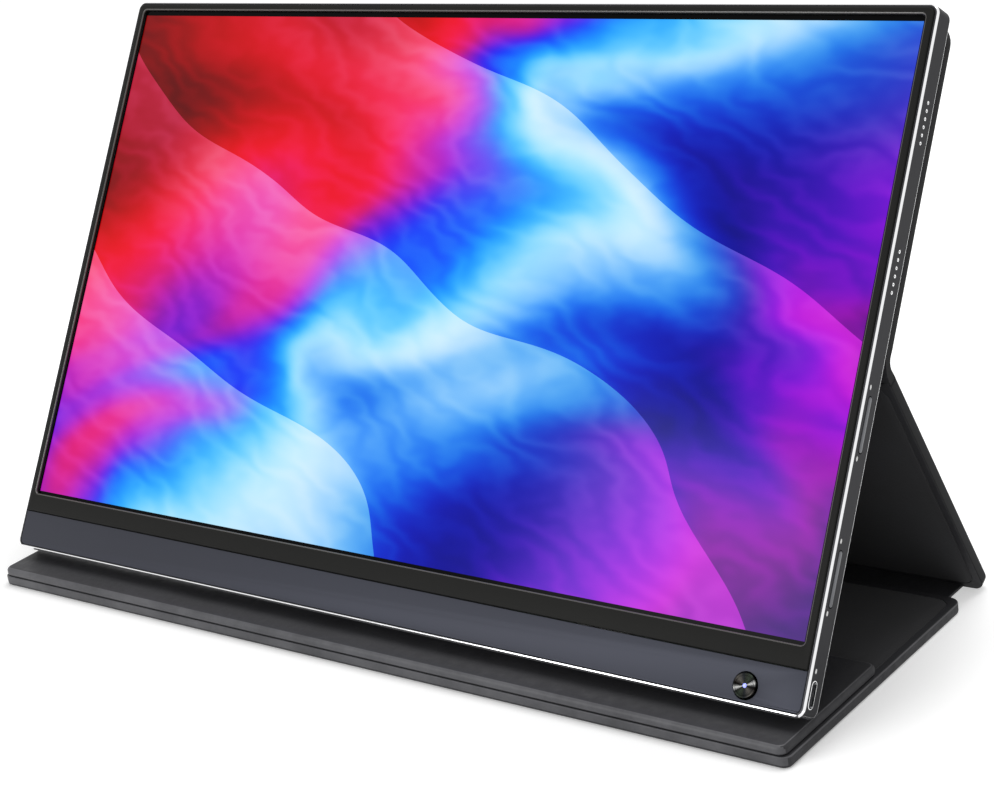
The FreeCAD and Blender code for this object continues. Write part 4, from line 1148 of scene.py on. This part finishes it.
for side, side_name in ((1, "right"), (-1, "left")):
    for row_number, row_height in enumerate(HOLE_ROWS, start=1):
        countersinks = fresh_rod("countersinks_%s_%d" % (side_name, row_number), HOLE_RADIUS, SINK_LENGTH,
                                 (side * (MONITOR_HALF - SINK_MIDDLE), -HOLE_DEPTH, row_height),
                                 (0, side * math.pi / 2, 0), sides=20)
        pick(countersinks, "FACE", lambda f: f.normal.x * side > STRAIGHT_ON)
        bpy.ops.mesh.inset(thickness=SINK_WIDTH, depth=-SINK_FALL)
        bpy.ops.mesh.inset(thickness=SINK_WALL, depth=-SINK_FLOOR)
        bpy.ops.object.mode_set(mode="OBJECT")
        row = countersinks.modifiers.new("row", "ARRAY")
        row.count = HOLE_COUNT
        row.use_relative_offset = False
        row.use_constant_offset = True
        row.constant_offset_displace = (0, 0, HOLE_PITCH)
        bpy.ops.object.modifier_apply(modifier=row.name)
        hole_floors = [face.normal.x * side > STRAIGHT_ON and abs(face.center.x) < MONITOR_HALF - SINK_FLOOR
                       for face in countersinks.data.polygons]
        place_piece(countersinks, monitor_place)
        finish_shape(countersinks, "monitor", None, bright_cut_and_highlight, MONITOR_SMOOTH)
        second_finish(countersinks, hole_shade, hole_floors)

# White dots
# Small bright white ovals on the right-hand wall, at both ends of each key and above the socket.
# They stand a hair proud of the anodised metal.
DOT_RADIUS = 0.5 * MM
DOT_STRETCH = 1.6
DOT_PROUD = 0.06 * MM
DOT_ROUND = 0.05 * MM
DOT_DEPTH = 6.1 * MM
DOT_HEIGHTS = [height * MM for height in (101.9, 79.8, 54.5, 32.4, 14.9)]
DOT_WHITE = "#f0f0ee"
DOT_GRAIN = 0.2 * MM

# White dots: softly glossy with a fine grain
dot_finish, tree = new_material("white_dot_gloss")
upright = monitor_space(tree)
dot_grain = add_node(tree, "ShaderNodeTexNoise", {"Vector": upright.outputs[0], "Scale": 1 / DOT_GRAIN})
dot_gloss = add_node(tree, "ShaderNodeMapRange", {
    "Value": dot_grain.outputs["Fac"], "To Min": 0.35, "To Max": 0.55})
dot_surface = add_node(tree, "ShaderNodeBsdfPrincipled", {
    "Base Color": linear(DOT_WHITE), "Roughness": dot_gloss.outputs[0]})
add_node(tree, "ShaderNodeOutputMaterial", {"Surface": dot_surface.outputs[0]})

for dot_number, dot_height in enumerate(DOT_HEIGHTS, start=1):
    white_dot = fresh_rod("ink_dot_%d" % dot_number, DOT_RADIUS, 2 * DOT_PROUD,
                        (MONITOR_HALF, -DOT_DEPTH, dot_height), (0, math.pi / 2, 0), sides=20,
                        stretch=DOT_STRETCH)
    round_edges(white_dot, lambda e: lies_at(e, 0, MONITOR_HALF + DOT_PROUD), DOT_ROUND, steps=2)
    place_piece(white_dot, monitor_place)
    finish_shape(white_dot, "monitor", None, dot_finish, MONITOR_SMOOTH)

# Pieces inside the monitor and the cover
# Boards, films, cells, magnets and the rest that the housing and the skins enclose.
# They keep their solids and take plain finishes of their own.
INNER_RELIEF = 0.05 * MM
# Inner finishes by slot: a speckle of two tones at the real grain's size, matt or bright as the material is.
# Each has its name, dark and light tone, roughness, metallic share and grain in millimetres
INNER_FINISHES = {
    "white_film": ("polyester_film_white", "#d9d9d6", "#ececea", 0.55, 0.0, 3.0),
    "clear_acrylic": ("acrylic_sheet_polished", "#cfd9dc", "#e4ebed", 0.12, 0.0, 8.0),
    "circuit_board": ("fibreglass_green_solder_mask", "#173b28", "#245a3d", 0.4, 0.0, 2.0),
    "tray_steel": ("steel_sheet_cold_rolled", "#84868a", "#a2a4a8", 0.36, 1.0, 1.2),
    "black_tape": ("acetate_tape_black", "#101011", "#1b1b1c", 0.6, 0.0, 1.5),
    "bezel_plastic": ("abs_moulded_black_inner", "#1c1c1d", "#262627", 0.55, 0.0, 0.6),
    "cell_foil": ("aluminium_laminate_foil", "#7d8084", "#a0a3a8", 0.3, 1.0, 4.0),
    "cover_board": ("grey_fibre_board", "#5c5952", "#777268", 0.85, 0.0, 0.9),
    "magnet_nickel": ("neodymium_nickel_plated", "#9c9da0", "#c2c3c5", 0.22, 1.0, 1.0),
    "port_steel": ("steel_dome_switch", "#8d8e90", "#b3b4b6", 0.3, 1.0, 0.5),
}
node_slots = {part["node"]: part["material_slot"] for part in frame["record"]["subparts"]}
inner_materials = {}
for slot, (name, dark, light, roughness, metallic, grain_mm) in INNER_FINISHES.items():
    inner_materials[slot], tree = new_material(name)
    place = add_node(tree, "ShaderNodeTexCoord")
    speckle = add_node(tree, "ShaderNodeTexNoise", {
        "Vector": place.outputs["Object"], "Scale": 1 / (grain_mm * MM), "Detail": 3.0})
    speckle_colour = add_node(tree, "ShaderNodeMix", {
        "Factor": speckle.outputs["Fac"], 6: linear(dark), 7: linear(light)}, data_type="RGBA")
    speckle_relief = add_node(tree, "ShaderNodeBump", {
        "Height": speckle.outputs["Fac"], "Strength": 0.1, "Distance": INNER_RELIEF})
    inner_surface = add_node(tree, "ShaderNodeBsdfPrincipled", {
        "Base Color": speckle_colour.outputs[2], "Roughness": roughness, "Metallic": metallic,
        "Normal": speckle_relief.outputs[0]})
    add_node(tree, "ShaderNodeOutputMaterial", {"Surface": inner_surface.outputs[0]})
for node, solid in frame["nodes"].items():
    if not solid.hide_render:
        solid.data.materials.clear()
        solid.data.materials.append(inner_materials[node_slots[node]])
